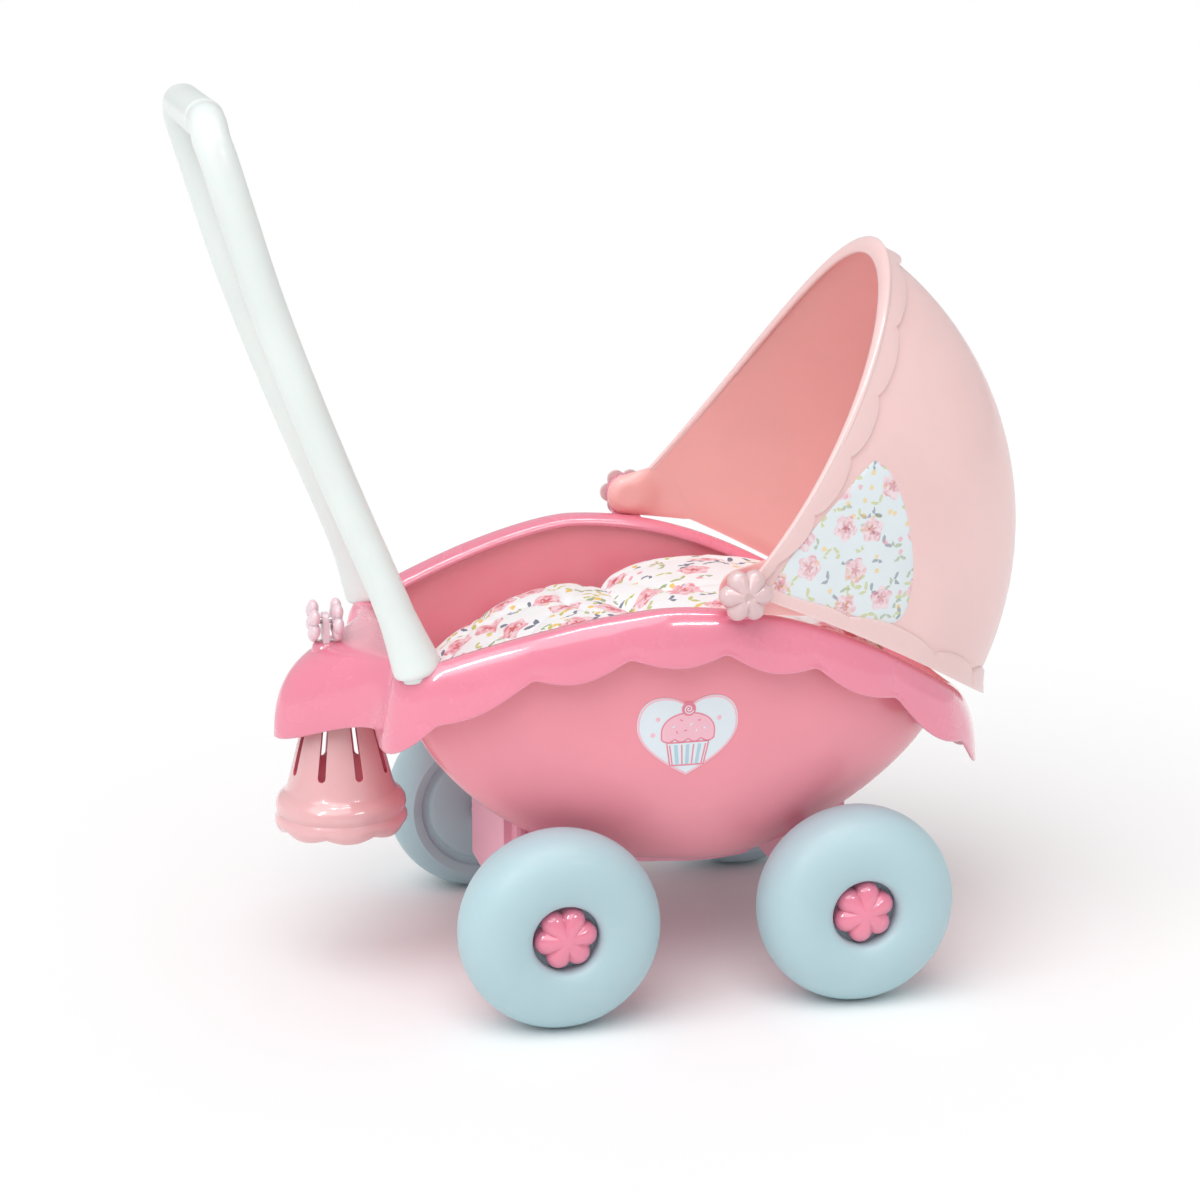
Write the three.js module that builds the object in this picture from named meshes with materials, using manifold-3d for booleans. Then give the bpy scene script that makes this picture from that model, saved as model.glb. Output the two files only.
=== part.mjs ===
// A toy doll pram: a boat-shaped plastic tub with a scalloped rim, a tilting hood, a push handle,
// four fat wheels on two axles, a hanging bell, a spinning deck flower and a set of bedding.
//
// Millimetres, +Z up. +X points from the handle end to the hood end, +Y to the pram's left.
// Inside the model X is measured from the rear axle. The finished group is then moved along X, so
// that the origin lies on the floor under the middle of the whole pram.

import * as THREE from 'three';
import { mergeVertices } from 'three/addons/utils/BufferGeometryUtils.js';
import Module from 'manifold-3d';

const wasm = await Module();
wasm.setup();

// ---- Driving dimensions ---------------------------------------------------------------------

const GAP = 0.3; // clearance between pieces that touch
const WALL = 2.5; // moulded wall thickness

const WHEEL_RADIUS = 55;
const WHEEL_HALF_WIDTH = 24.5;
const WHEEL_TRACK = 224; // between the middles of the left and right wheels
const WHEEL_BASE = 166;
const WHEEL_SEGMENTS = 18;
const HUB_HOLE_RADIUS = 18.4;
const HUB_HOLE_DEPTH = 12;
const COVER_RADIUS = 37;
const AXLE_RADIUS = 3;

const MIDSHIP_X = 58; // the widest and highest station of the rim
const RIM_REAR_X = -76;
const RIM_FRONT_X = 245;
const RIM_HALF_WIDTH = 117;
const RIM_REAR_HALF_WIDTH = 83;
const RIM_TOP_Z = 228.5;
const RIM_STATIONS = 72;
const SKIRT_FLARE = 12; // how far the skirt's lower edge stands outside the crest
const TONGUE_LENGTH = 48; // extra reach of the rear deck behind the skirt
const TONGUE_HALF_WIDTH = 55;

const TUB_CENTRE_X = 100;
const TUB_BOTTOM_Z = 60;
const TUB_EDGE_DROP = 7.2; // the tub wall ends this far below the rim's crest

const PIVOT = { x: 96.4, z: 237 };
const HOOD_RADIUS = 197;
const HOOD_HALF_WIDTH = 124;
const HOOD_EXPONENT = 1.8;
const EAR = { inner: 126, outer: 129.6, radius: 11.5, foot: 213 };
const PIN_RADIUS = 2.5; // of the pins the hood tilts on

const HANDLE_HALF_WIDTH = 83;
const HANDLE_RADIUS = 9.6;
const HANDLE_TOP_Z = 481;
const BEND_RADIUS = 22;
const GRIP_HALF_LENGTH = 56;
const FOOT_RADIUS = 15;

const BELL = { x: -99.5, bottom: 83, neckTop: 168 };
const DECK_FLOWER = { x: -106, z: 202.5 };
const SHAFT_RADIUS = 1.8; // of the deck flowers' shaft

const BED_TOP_Z = 150; // top of the mattress
const MATTRESS_THICKNESS = 40;
const BEDDING_GAP = 2.5; // between the bedding and the tub's inner face

const SHIFT_X = -57.568; // from the rear axle to the middle of the pram's length

// ---- Materials --------------------------------------------------------------------------------

const plastic = (color, roughness) => new THREE.MeshStandardMaterial({ color, roughness, metalness: 0 });
const MATERIALS = {
  rim: plastic('#f59ab4', 0.3),
  tub: plastic('#ee8098', 0.35),
  aqua: plastic('#bcdfe6', 0.45),
  hood: plastic('#f3d3d2', 0.4),
  knob: plastic('#ecd0d2', 0.35),
  hub: plastic('#f0819c', 0.25),
  bell: plastic('#f2c1c0', 0.3),
  handle: plastic('#e6efed', 0.35),
  fabric: plastic('#f4f1f2', 0.9),
  steel: new THREE.MeshStandardMaterial({ color: '#b9bcc0', roughness: 0.3, metalness: 1 }),
};

// ---- Geometry helpers -------------------------------------------------------------------------

const vec = (x, y, z) => new THREE.Vector3(x, y, z);
const radians = THREE.MathUtils.degToRad;
const smooth = THREE.MathUtils.smoothstep;
const lerp = THREE.MathUtils.lerp;

/** Signed volume of a closed indexed geometry: positive when its faces point out. */
function signedVolume(geometry) {
  const { position } = geometry.attributes;
  const index = geometry.index.array;
  const [a, b, c] = [vec(), vec(), vec()];
  let volume = 0;
  for (let i = 0; i < index.length; i += 3) {
    a.fromBufferAttribute(position, index[i]);
    b.fromBufferAttribute(position, index[i + 1]);
    c.fromBufferAttribute(position, index[i + 2]);
    volume += a.dot(b.cross(c)) / 6;
  }
  return volume;
}

/** The geometry with shared vertices and its faces pointing out. */
function closed(geometry) {
  geometry.deleteAttribute('normal');
  geometry.deleteAttribute('uv');
  const merged = mergeVertices(geometry, 1e-3);
  const index = Array.from(merged.index.array);
  const kept = [];
  const outward = signedVolume(merged) > 0;
  for (let i = 0; i < index.length; i += 3) {
    const [a, b, c] = index.slice(i, i + 3);
    if (a === b || b === c || c === a) continue;
    kept.push(...(outward ? [a, b, c] : [a, c, b]));
  }
  merged.setIndex(kept);
  return merged;
}

function fromPoints(points, faces) {
  const geometry = new THREE.BufferGeometry();
  const coordinates = points.flatMap((p) => p.toArray());
  geometry.setAttribute('position', new THREE.Float32BufferAttribute(coordinates, 3));
  geometry.setIndex(faces);
  return closed(geometry);
}

/** Joins closed rings of points into a body: a closed loop of rings, or a tube with flat ends. */
function ringBody(rings, loop = false) {
  const size = rings[0].length;
  const points = rings.flat();
  const faces = [];
  const spans = loop ? rings.length : rings.length - 1;
  for (let i = 0; i < spans; i += 1) {
    const here = i * size;
    const next = ((i + 1) % rings.length) * size;
    for (let j = 0; j < size; j += 1) {
      const k = (j + 1) % size;
      faces.push(here + j, here + k, next + k, here + j, next + k, next + j);
    }
  }
  if (!loop) {
    for (const [ring, flip] of [[0, true], [rings.length - 1, false]]) {
      const middle = rings[ring].reduce((sum, p) => sum.add(p), vec(0, 0, 0)).divideScalar(size);
      const tip = points.push(middle) - 1;
      for (let j = 0; j < size; j += 1) {
        const a = ring * size + j;
        const b = ring * size + ((j + 1) % size);
        faces.push(...(flip ? [tip, b, a] : [tip, a, b]));
      }
    }
  }
  return fromPoints(points, faces);
}

/** A shell between two grids of points with the same number of rows and columns. */
function shellBody(outer, inner) {
  const rows = outer.length;
  const columns = outer[0].length;
  const rings = [];
  for (let i = 0; i < rows; i += 1) rings.push([...outer[i], ...inner[i].toReversed()]);
  const size = columns * 2;
  const faces = [];
  for (let i = 0; i < rows - 1; i += 1) {
    for (let j = 0; j < size; j += 1) {
      const k = (j + 1) % size;
      const [a, b] = [i * size, (i + 1) * size];
      faces.push(a + j, a + k, b + k, a + j, b + k, b + j);
    }
  }
  for (const [row, flip] of [[0, true], [rows - 1, false]]) {
    for (let j = 0; j < columns - 1; j += 1) {
      const [p, q] = [row * size + j, row * size + j + 1];
      const [r, s] = [row * size + size - 2 - j, row * size + size - 1 - j];
      faces.push(...(flip ? [p, r, q, p, s, r] : [p, q, r, p, r, s]));
    }
  }
  return fromPoints(rings.flat(), faces);
}

function toSolid(geometry) {
  const { position } = geometry.attributes;
  return new wasm.Manifold(new wasm.Mesh({
    numProp: 3,
    vertProperties: new Float32Array(position.array),
    triVerts: new Uint32Array(geometry.index.array),
  }));
}

function fromSolid(solid) {
  const mesh = solid.getMesh();
  const geometry = new THREE.BufferGeometry();
  geometry.setAttribute('position', new THREE.BufferAttribute(mesh.vertProperties.slice(), 3));
  geometry.setIndex(new THREE.BufferAttribute(mesh.triVerts.slice(), 1));
  return geometry;
}

/** A function that adds, subtracts or intersects each later body with the first. */
const combine = (operation) => (first, ...rest) => fromSolid(
  rest.reduce((solid, geometry) => solid[operation](toSolid(geometry)), toSolid(first)),
);
const join = combine('add');
const cut = combine('subtract');
const common = combine('intersect');

/** A cylinder between two points. */
function rod(from, to, radius, segments = 16) {
  const axis = to.clone().sub(from);
  const geometry = new THREE.CylinderGeometry(radius, radius, axis.length(), segments);
  const turn = new THREE.Quaternion().setFromUnitVectors(vec(0, 1, 0), axis.normalize());
  geometry.applyQuaternion(turn);
  const middle = from.clone().lerp(to, 0.5);
  geometry.translate(middle.x, middle.y, middle.z);
  return closed(geometry);
}

function box(x0, x1, y0, y1, z0, z1) {
  const geometry = new THREE.BoxGeometry(x1 - x0, y1 - y0, z1 - z0);
  geometry.translate((x0 + x1) / 2, (y0 + y1) / 2, (z0 + z1) / 2);
  return closed(geometry);
}

/** A body of revolution about Y from [radius, y] pairs. */
function turned(profile, segments) {
  const loop = profile.map(([radius, y]) => new THREE.Vector2(radius, y));
  const [first, last] = [loop[0], loop.at(-1)];
  if (first.x > 0 || last.x > 0) loop.push(first.clone());
  return closed(new THREE.LatheGeometry(loop, segments));
}

/** A flat outline extruded along Y between two values, its outline read as X and Z. */
function platesAcross(shape, y0, y1, bevel = 0, segments = 2) {
  const geometry = new THREE.ExtrudeGeometry(shape, {
    depth: y1 - y0 - 2 * bevel,
    bevelEnabled: bevel > 0,
    bevelThickness: bevel,
    bevelSize: bevel,
    bevelOffset: -bevel,
    bevelSegments: 1,
    curveSegments: segments,
  });
  geometry.rotateX(Math.PI / 2);
  geometry.translate(0, y1 - bevel, 0);
  return closed(geometry);
}

/** The outline of a flower: round petals about the origin. */
function flowerShape(tipRadius, petals = 6) {
  const petal = tipRadius * 0.37;
  const reach = tipRadius - petal;
  const half = Math.PI / petals;
  const notch = reach * Math.cos(half) + Math.sqrt(petal ** 2 - (reach * Math.sin(half)) ** 2);
  const shape = new THREE.Shape();
  for (let i = 0; i < petals; i += 1) {
    const angle = 2 * half * i + half;
    const [x, y] = [reach * Math.cos(angle), reach * Math.sin(angle)];
    const swing = Math.atan2(notch * Math.sin(half), notch * Math.cos(half) - reach);
    shape.absarc(x, y, petal, angle - swing, angle + swing, false);
  }
  return shape;
}

// ---- The rim's lines ----------------------------------------------------------------------------

/** Half-width of the crest behind the widest station, tapering to the transom. */
function rearHalfWidth(x) {
  const back = (MIDSHIP_X - x) / (MIDSHIP_X - RIM_REAR_X);
  return RIM_HALF_WIDTH - (RIM_HALF_WIDTH - RIM_REAR_HALF_WIDTH) * back ** 1.35;
}

/** Height of the crest: a sheer line, highest at the middle and lowest at the hood end. */
function crestHeight(x) {
  if (x < MIDSHIP_X) return RIM_TOP_Z - 38.5 * ((MIDSHIP_X - x) / 140) ** 1.5;
  return RIM_TOP_Z - 64.5 * ((x - MIDSHIP_X) / 170) ** 2;
}

/** The left half of the crest's plan, from the middle of the transom round to the front. */
function halfPlan() {
  const corner = 20;
  const points = [new THREE.Vector2(RIM_REAR_X, 0)];
  const cornerCurve = new THREE.QuadraticBezierCurve(
    new THREE.Vector2(RIM_REAR_X, RIM_REAR_HALF_WIDTH - corner),
    new THREE.Vector2(RIM_REAR_X, RIM_REAR_HALF_WIDTH),
    new THREE.Vector2(RIM_REAR_X + corner, rearHalfWidth(RIM_REAR_X + corner)),
  );
  points.push(...cornerCurve.getPoints(10));
  for (let x = RIM_REAR_X + corner + 5; x < MIDSHIP_X; x += 5) {
    points.push(new THREE.Vector2(x, rearHalfWidth(x)));
  }
  const steps = 48;
  const power = 2 / 2.6;
  for (let i = 0; i <= steps; i += 1) {
    const angle = (Math.PI / 2) * (1 - i / steps);
    points.push(new THREE.Vector2(
      MIDSHIP_X + (RIM_FRONT_X - MIDSHIP_X) * Math.cos(angle) ** power,
      RIM_HALF_WIDTH * Math.sin(angle) ** power,
    ));
  }
  return new THREE.Path().setFromPoints(points);
}

/** Where the skirt's lower edge lies below the crest: scallops that hang from a line of cusps. */
function skirtDrop(along, length) {
  const tongueCusp = 55;
  const cornerCusp = 97;
  const lobes = 7.5;
  let phase = 1.5 + (lobes * (along - cornerCusp)) / (length - cornerCusp);
  if (along < cornerCusp) phase = 0.5 + (along - tongueCusp) / (cornerCusp - tongueCusp);
  if (along < tongueCusp) phase = (0.5 * along) / tongueCusp;
  const rearDrop = 17 * (1 - smooth(along, 60, 140));
  const frontDrop = 16 * smooth(along, length - 150, length - 40);
  const cuspLine = 22 + rearDrop + frontDrop;
  const lobe = 8 + 8 * (1 - smooth(along, 15, 55));
  return cuspLine + lobe * Math.abs(Math.cos(Math.PI * phase));
}

/** Stations round the rim: crest point, outward direction, flare and skirt depth at each. */
function rimStations() {
  const path = halfPlan();
  const half = path.getSpacedPoints(RIM_STATIONS / 2);
  const length = path.getLength();
  const mirrored = half.slice(1, -1).map((p) => new THREE.Vector2(p.x, -p.y)).toReversed();
  const loop = [...half, ...mirrored];
  return loop.map((point, i) => {
    const before = loop.at(i - 1);
    const after = loop[(i + 1) % loop.length];
    const normal = new THREE.Vector2(before.y - after.y, after.x - before.x).normalize();
    const along = (Math.min(i, RIM_STATIONS - i) * length) / (RIM_STATIONS / 2);
    const onTransom = Math.abs(point.y) < TONGUE_HALF_WIDTH && point.x < 0;
    const swell = Math.cos((Math.PI * point.y) / (2 * TONGUE_HALF_WIDTH)) ** 2;
    const tongue = onTransom ? TONGUE_LENGTH * swell : 0;
    return {
      x: point.x,
      y: point.y,
      normal,
      crest: crestHeight(point.x),
      flare: SKIRT_FLARE + tongue,
      drop: skirtDrop(along, length),
    };
  });
}

const STATIONS = rimStations();

/** A point at a distance outside the crest of a station and at a height. */
const offPoint = (station, out, z) => vec(
  station.x + station.normal.x * out,
  station.y + station.normal.y * out,
  z,
);

/** A point on the rounded skirt: turn 0 is the crest and 1 is the lower edge. */
function skirtPoint(station, turn, thickness = 0) {
  const full = station.drop + 3;
  const limit = Math.acos(1 - station.drop / full);
  const angle = limit * turn;
  const depth = full - thickness;
  const z = station.crest - thickness - depth * (1 - Math.cos(angle));
  const bottom = station.crest - station.drop;
  const out = (station.flare - thickness) * Math.sin(angle);
  return offPoint(station, out, turn === 1 ? bottom : Math.max(z, bottom));
}

// ---- Tub ------------------------------------------------------------------------------------------

/** How much of its top outline the tub keeps at a depth: 0 is the top edge and 1 the bottom. */
const fullness = (depth, exponent) => (1 - depth ** exponent) ** (1 / exponent);
const TUB_EXPONENTS = { rear: 1.8, front: 1.5, side: 3 };

/** One ring of the tub's boat shape, with a raked bow, a round stern and full sides. */
function tubRing(depth, outset, lift = 0) {
  const bottom = TUB_BOTTOM_Z - outset;
  return STATIONS.filter((_, i) => i % 2 === 0).map((station) => {
    const edge = offPoint(station, outset - 1, 0);
    const along = edge.x - TUB_CENTRE_X;
    const top = station.crest - TUB_EDGE_DROP + lift;
    return vec(
      TUB_CENTRE_X + along * fullness(depth, along > 0 ? TUB_EXPONENTS.front : TUB_EXPONENTS.rear),
      edge.y * fullness(depth, TUB_EXPONENTS.side),
      top - depth * (top - bottom),
    );
  });
}

const TUB_DEPTHS = [0.994, 0.94, 0.83, 0.66, 0.42, 0];

/** The tub's outer form as a filled body, grown by an outset and raised above its edge by a lift. */
function tubForm(outset, lift) {
  const rings = TUB_DEPTHS.map((depth) => tubRing(depth, outset));
  rings.push(tubRing(0, outset, lift));
  return ringBody(rings);
}

const BRACKET_SCREWS = [-8, 8, WHEEL_BASE - 8, WHEEL_BASE + 8];
const SCREW_REACH = 9; // how far the screw holes reach above the tub's outer bottom
const SCREW_HOLE_RADIUS = 1.9;
const BOSS_RADIUS = 4.5;
const BOSS_HEIGHT = 12;

/** An upright cylinder through the tub's bottom at a bracket screw. */
const screwBoss = (x, radius, height) => rod(
  vec(x, 0, keelHeight(x) - 6),
  vec(x, 0, keelHeight(x) + height),
  radius,
  10,
);

/** Height of the tub's outer bottom on the centre line. */
function keelHeight(x) {
  const ahead = x > TUB_CENTRE_X;
  const end = ahead ? RIM_FRONT_X - 1 : RIM_REAR_X + 1;
  const top = crestHeight(end) - TUB_EDGE_DROP;
  const share = (x - TUB_CENTRE_X) / (end - TUB_CENTRE_X);
  const depth = fullness(share, ahead ? TUB_EXPONENTS.front : TUB_EXPONENTS.rear);
  return top - depth * (top - TUB_BOTTOM_Z);
}

function tubShell() {
  const outer = TUB_DEPTHS.map((depth) => tubRing(depth, 0));
  const inner = TUB_DEPTHS.toReversed().map((depth) => tubRing(depth, -WALL));
  let shell = ringBody([...outer, ...inner]);
  const inside = tubForm(-0.6, 0);
  for (const x of BRACKET_SCREWS) {
    shell = join(shell, common(screwBoss(x, BOSS_RADIUS, BOSS_HEIGHT), inside));
  }
  for (const x of BRACKET_SCREWS) {
    shell = cut(shell, screwBoss(x, SCREW_HOLE_RADIUS, SCREW_REACH));
  }
  for (const side of [-1, 1]) {
    const foot = vec(ARM_PATH[0][0], side * HANDLE_HALF_WIDTH, 0);
    shell = cut(shell, rod(foot.clone().setZ(174), foot.clone().setZ(200), 9.5, 16));
  }
  return shell;
}

/** Plate that follows the tub's bottom between the axle brackets. */
function basePlate() {
  const block = platesFlat(30, 136, 46, 14, 50, 90);
  return common(cut(tubForm(3 + GAP, 1), tubForm(GAP, 3)), block);
}

/** A rounded rectangle prism, symmetrical about Y = 0. */
function platesFlat(x0, x1, halfWidth, corner, z0, z1) {
  const shape = new THREE.Shape();
  shape.moveTo(x0 + corner, -halfWidth);
  shape.lineTo(x1 - corner, -halfWidth);
  shape.absarc(x1 - corner, -halfWidth + corner, corner, -Math.PI / 2, 0, false);
  shape.absarc(x1 - corner, halfWidth - corner, corner, 0, Math.PI / 2, false);
  shape.absarc(x0 + corner, halfWidth - corner, corner, Math.PI / 2, Math.PI, false);
  shape.absarc(x0 + corner, -halfWidth + corner, corner, Math.PI, 1.5 * Math.PI, false);
  const options = { depth: z1 - z0, bevelEnabled: false, curveSegments: 4 };
  return closed(new THREE.ExtrudeGeometry(shape, options).translate(0, 0, z0));
}

/** Bracket that carries an axle under the tub: a skirt of walls, a web on the tub and two bosses. */
function axleBracket(axleX) {
  const [halfLength, halfWidth, wall] = [16, 46, 4];
  const ribX = axleX + (axleX > 0 ? 7 : -7);
  const [innerLength, innerWidth] = [halfLength - wall, halfWidth - wall];
  const outside = box(axleX - halfLength, axleX + halfLength, -halfWidth, halfWidth, 44, 125);
  const hollow = cut(
    box(axleX - innerLength, axleX + innerLength, -innerWidth, innerWidth, 40, 130),
    tubForm(wall + GAP, 3),
  );
  const bossEnd = WHEEL_TRACK / 2 - 21 - 1.2;
  const walls = cut(outside, hollow, tubForm(GAP, 3));
  const bosses = [-1, 1].map((side) => rod(
    vec(axleX, side * (halfWidth - wall), WHEEL_RADIUS),
    vec(axleX, side * bossEnd, WHEEL_RADIUS),
    8,
    16,
  ));
  const ribs = [-1, 1].map((side) => cut(
    rod(vec(ribX, side * halfWidth, 60), vec(ribX, side * halfWidth, 125), 4.5, 12),
    tubForm(GAP, 3),
  ));
  let bracket = join(walls, ...bosses, ...ribs);
  const [boreStart, boreEnd] = [-100, 100].map((y) => vec(axleX, y, WHEEL_RADIUS));
  bracket = cut(bracket, rod(boreStart, boreEnd, AXLE_RADIUS + GAP));
  for (const x of BRACKET_SCREWS.filter((screw) => Math.abs(screw - axleX) < halfLength)) {
    const keel = keelHeight(x);
    bracket = cut(bracket, rod(vec(x, 0, keel - 14), vec(x, 0, keel + 2), SCREW_HOLE_RADIUS, 10));
  }
  return bracket;
}

/** A pan-head screw pointing up: its head's top face is at a height. */
function screw(x, y, z, length, headRadius = 3.4, shankRadius = 1.5) {
  const head = [[0, -2.2], [headRadius, -1.4], [headRadius, 0]];
  const shank = [[shankRadius, 0], [shankRadius, length - 1.5], [0, length]];
  return turned([...head, ...shank], 8).rotateX(Math.PI / 2).translate(x, y, z);
}

// ---- Rim ------------------------------------------------------------------------------------------

/** The filled form under the rim's outer surface, used to seat what stands on the rim. */
function rimForm(lift) {
  const floor = 130;
  const rings = [1, 0.7, 0.35, 0].map((turn) => STATIONS.map((s) => {
    const point = skirtPoint(s, turn);
    return point.setZ(point.z + lift);
  }));
  rings.unshift(rings[0].map((p) => p.clone().setZ(floor)));
  return ringBody(rings);
}

/** Rim: a channel that caps the tub's edge, with the scalloped skirt, rear deck and hood ears. */
function rimSkirt() {
  const rings = STATIONS.map((s) => {
    const outer = [1, 0.7, 0.35, 0].map((turn) => skirtPoint(s, turn));
    const lip = [[-6, -1.6], [-9, -6], [-6.4, -6.6], [-1, -3]]
      .map(([out, rise]) => offPoint(s, out, s.crest + rise));
    const inner = [0.5, 1].map((turn) => skirtPoint(s, turn, WALL));
    return [...outer, ...lip, ...inner];
  });
  let rim = ringBody(rings, true);
  const boss = common(rod(vec(BELL.x, 0, BELL.neckTop + GAP), vec(BELL.x, 0, 190), 8), rimForm(-0.6));
  rim = join(rim, boss, hoodEar(1), hoodEar(-1));
  const bellHole = rod(vec(BELL.x, 0, 160), vec(BELL.x, 0, 184), SCREW_HOLE_RADIUS, 10);
  const pinHole = rod(vec(PIVOT.x, -140, PIVOT.z), vec(PIVOT.x, 140, PIVOT.z), 3);
  rim = cut(rim, bellHole, pinHole);
  for (const side of [-1, 1]) {
    const foot = vec(ARM_PATH[0][0], side * HANDLE_HALF_WIDTH, 0);
    rim = cut(rim, rod(foot.clone().setZ(165), foot.clone().setZ(200), 5 + GAP, 16));
  }
  return rim;
}

/** Upright lug that carries the hood's pin. */
function hoodEar(side) {
  const { inner, outer, radius, foot } = EAR;
  const shape = new THREE.Shape();
  shape.moveTo(PIVOT.x - radius, PIVOT.z);
  shape.lineTo(PIVOT.x - radius * 0.7, foot);
  shape.lineTo(PIVOT.x + radius * 0.7, foot);
  shape.lineTo(PIVOT.x + radius, PIVOT.z);
  shape.absarc(PIVOT.x, PIVOT.z, radius, 0, Math.PI, false);
  const [low, high] = side > 0 ? [inner, outer] : [-outer, -inner];
  return platesAcross(shape, low, high, 0, 10);
}

// ---- Handle ---------------------------------------------------------------------------------------

// Side view of an arm, X and Z, from its foot to the start of the bend into the grip.
const ARM_PATH = [[-68, 196], [-86, 241], [-105, 288], [-125, 340], [-143, 391], [-157, 438], [-163, 459]];

function handleArm(side) {
  const y = side * HANDLE_HALF_WIDTH;
  const gripX = ARM_PATH.at(-1)[0] - 5;
  const points = ARM_PATH.map(([x, z]) => vec(x, y, z));
  points.push(vec(gripX + 1, y - side * 6.5, HANDLE_TOP_Z - 6.5));
  points.push(vec(gripX, y - side * BEND_RADIUS, HANDLE_TOP_Z));
  points.push(vec(gripX, side * (GRIP_HALF_LENGTH + GAP), HANDLE_TOP_Z));
  const curve = new THREE.CatmullRomCurve3(points, false, 'centripetal');
  const steps = 15;
  const frames = curve.computeFrenetFrames(steps, false);
  const rings = [];
  for (let i = 0; i <= steps; i += 1) {
    const along = i / steps;
    const radius = lerp(FOOT_RADIUS, HANDLE_RADIUS, smooth(along, 0, 0.16));
    rings.push(circle(curve.getPointAt(along), frames.normals[i], frames.binormals[i], radius, 10));
  }
  const foot = ARM_PATH[0];
  const sole = vec(foot[0], y, 170);
  rings.unshift(circle(sole, vec(1, 0, 0), vec(0, side, 0), FOOT_RADIUS, 10));
  const tube = ringBody(alignRings(rings));
  const seated = cut(tube, rimForm(GAP));
  const peg = rod(vec(foot[0], y, 186), vec(foot[0], y, 200), 5);
  const spigot = rod(
    vec(gripX, side * (GRIP_HALF_LENGTH + 3), HANDLE_TOP_Z),
    vec(gripX, side * (GRIP_HALF_LENGTH - 14), HANDLE_TOP_Z),
    6,
    12,
  );
  const screwHole = rod(vec(foot[0], y, 170), vec(foot[0], y, 212), SCREW_HOLE_RADIUS, 10);
  return cut(join(seated, peg, spigot), screwHole);
}

function circle(centre, u, v, radius, segments) {
  const ring = [];
  for (let i = 0; i < segments; i += 1) {
    const angle = (2 * Math.PI * i) / segments;
    const [right, up] = [radius * Math.cos(angle), radius * Math.sin(angle)];
    ring.push(centre.clone().addScaledVector(u, right).addScaledVector(v, up));
  }
  return ring;
}

/** Turns each ring's start and direction to follow the ring before it, so the body doesn't twist. */
function alignRings(rings) {
  const aligned = [rings.at(-1)];
  for (const ring of rings.slice(0, -1).toReversed()) {
    const before = aligned.at(-1);
    let best = null;
    for (const candidate of [ring, ring.toReversed()]) {
      for (let shift = 0; shift < ring.length; shift += 1) {
        const turnedRing = [...candidate.slice(shift), ...candidate.slice(0, shift)];
        const gap = turnedRing.reduce((sum, p, i) => sum + p.distanceToSquared(before[i]), 0);
        if (!best || gap < best.gap) best = { gap, ring: turnedRing };
      }
    }
    aligned.push(best.ring);
  }
  return aligned.toReversed();
}

function handleGrip() {
  const half = GRIP_HALF_LENGTH;
  const grip = turned([
    [6 + GAP, -half], [HANDLE_RADIUS, -half], [HANDLE_RADIUS + 0.9, -half + 8],
    [HANDLE_RADIUS + 0.9, half - 8], [HANDLE_RADIUS, half], [6 + GAP, half],
  ], 14);
  grip.translate(ARM_PATH.at(-1)[0] - 5, 0, HANDLE_TOP_Z);
  return grip;
}

// ---- Wheels and axles -----------------------------------------------------------------------------

/** Profile scaled so that the flats of the turned body, not its corners, lie at the true radius. */
const onFlats = (profile, segments) => profile.map(([r, y]) => [r / Math.cos(Math.PI / segments), y]);

const TYRE_CENTRE = 31; // radius of the middle of the tyre's round section
const arcPoint = (degrees, inset) => [
  TYRE_CENTRE + (WHEEL_RADIUS - TYRE_CENTRE - inset) * Math.cos(radians(degrees)),
  (WHEEL_HALF_WIDTH - inset) * Math.sin(radians(degrees)),
];

/** Hollow wheel: open towards the tub, with the hub hole outside. Its outer side faces +Y. */
function wheelShell() {
  const wall = 3;
  const floor = 19.8 - HUB_HOLE_DEPTH;
  const tread = [[WHEEL_RADIUS, -4.5], [WHEEL_RADIUS, 4.5]];
  const [innerSide, outerSide] = [[-62, -36], [36, 62, 90]].map((row) => row.map((a) => arcPoint(a, 0)));
  const inner = [88, 48, 0, -58].map((a) => arcPoint(a, wall));
  const profile = [
    ...innerSide, ...tread, ...outerSide,
    [HUB_HOLE_RADIUS, 20.6], [HUB_HOLE_RADIUS, floor], [AXLE_RADIUS + GAP, floor],
    [AXLE_RADIUS + GAP, -19], [AXLE_RADIUS + 4, -19], [AXLE_RADIUS + 4, floor - wall],
    [HUB_HOLE_RADIUS + wall, floor - wall],
    ...inner,
  ];
  return turned(onFlats(profile, WHEEL_SEGMENTS), WHEEL_SEGMENTS).rotateY(Math.PI / WHEEL_SEGMENTS);
}

/** Disc that closes the wheel's inner side. */
function wheelCover() {
  const edge = COVER_RADIUS;
  const profile = [
    [AXLE_RADIUS + 4 + GAP, -17.5], [AXLE_RADIUS + 4 + GAP, -20.5], [edge - 1.5, -20.5], [edge, -17.5],
  ];
  return turned(onFlats(profile, WHEEL_SEGMENTS), WHEEL_SEGMENTS).rotateY(Math.PI / WHEEL_SEGMENTS);
}

/** Push-on cap that keeps the wheel on its axle. */
function axleClip() {
  const floor = 19.8 - HUB_HOLE_DEPTH;
  return turned([
    [0, floor + 4.2], [6.5, floor + 2.4], [6.5, floor + 0.6],
    [AXLE_RADIUS + GAP, floor + 0.6], [AXLE_RADIUS + GAP, floor + 2.9], [0, floor + 2.9],
  ], 10);
}

/** Domed six-petal cap that fills the hub hole, held by a ring behind its petals. */
function hubFlower() {
  const back = 13;
  const front = 22.5;
  const petals = platesAcross(flowerShape(17), back, front, 2.6, 1);
  const ring = turned([[8.5, 8.4], [10.5, 8.4], [10.5, back + 1], [8.5, back + 1]], 10);
  return join(petals, ring);
}

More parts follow.
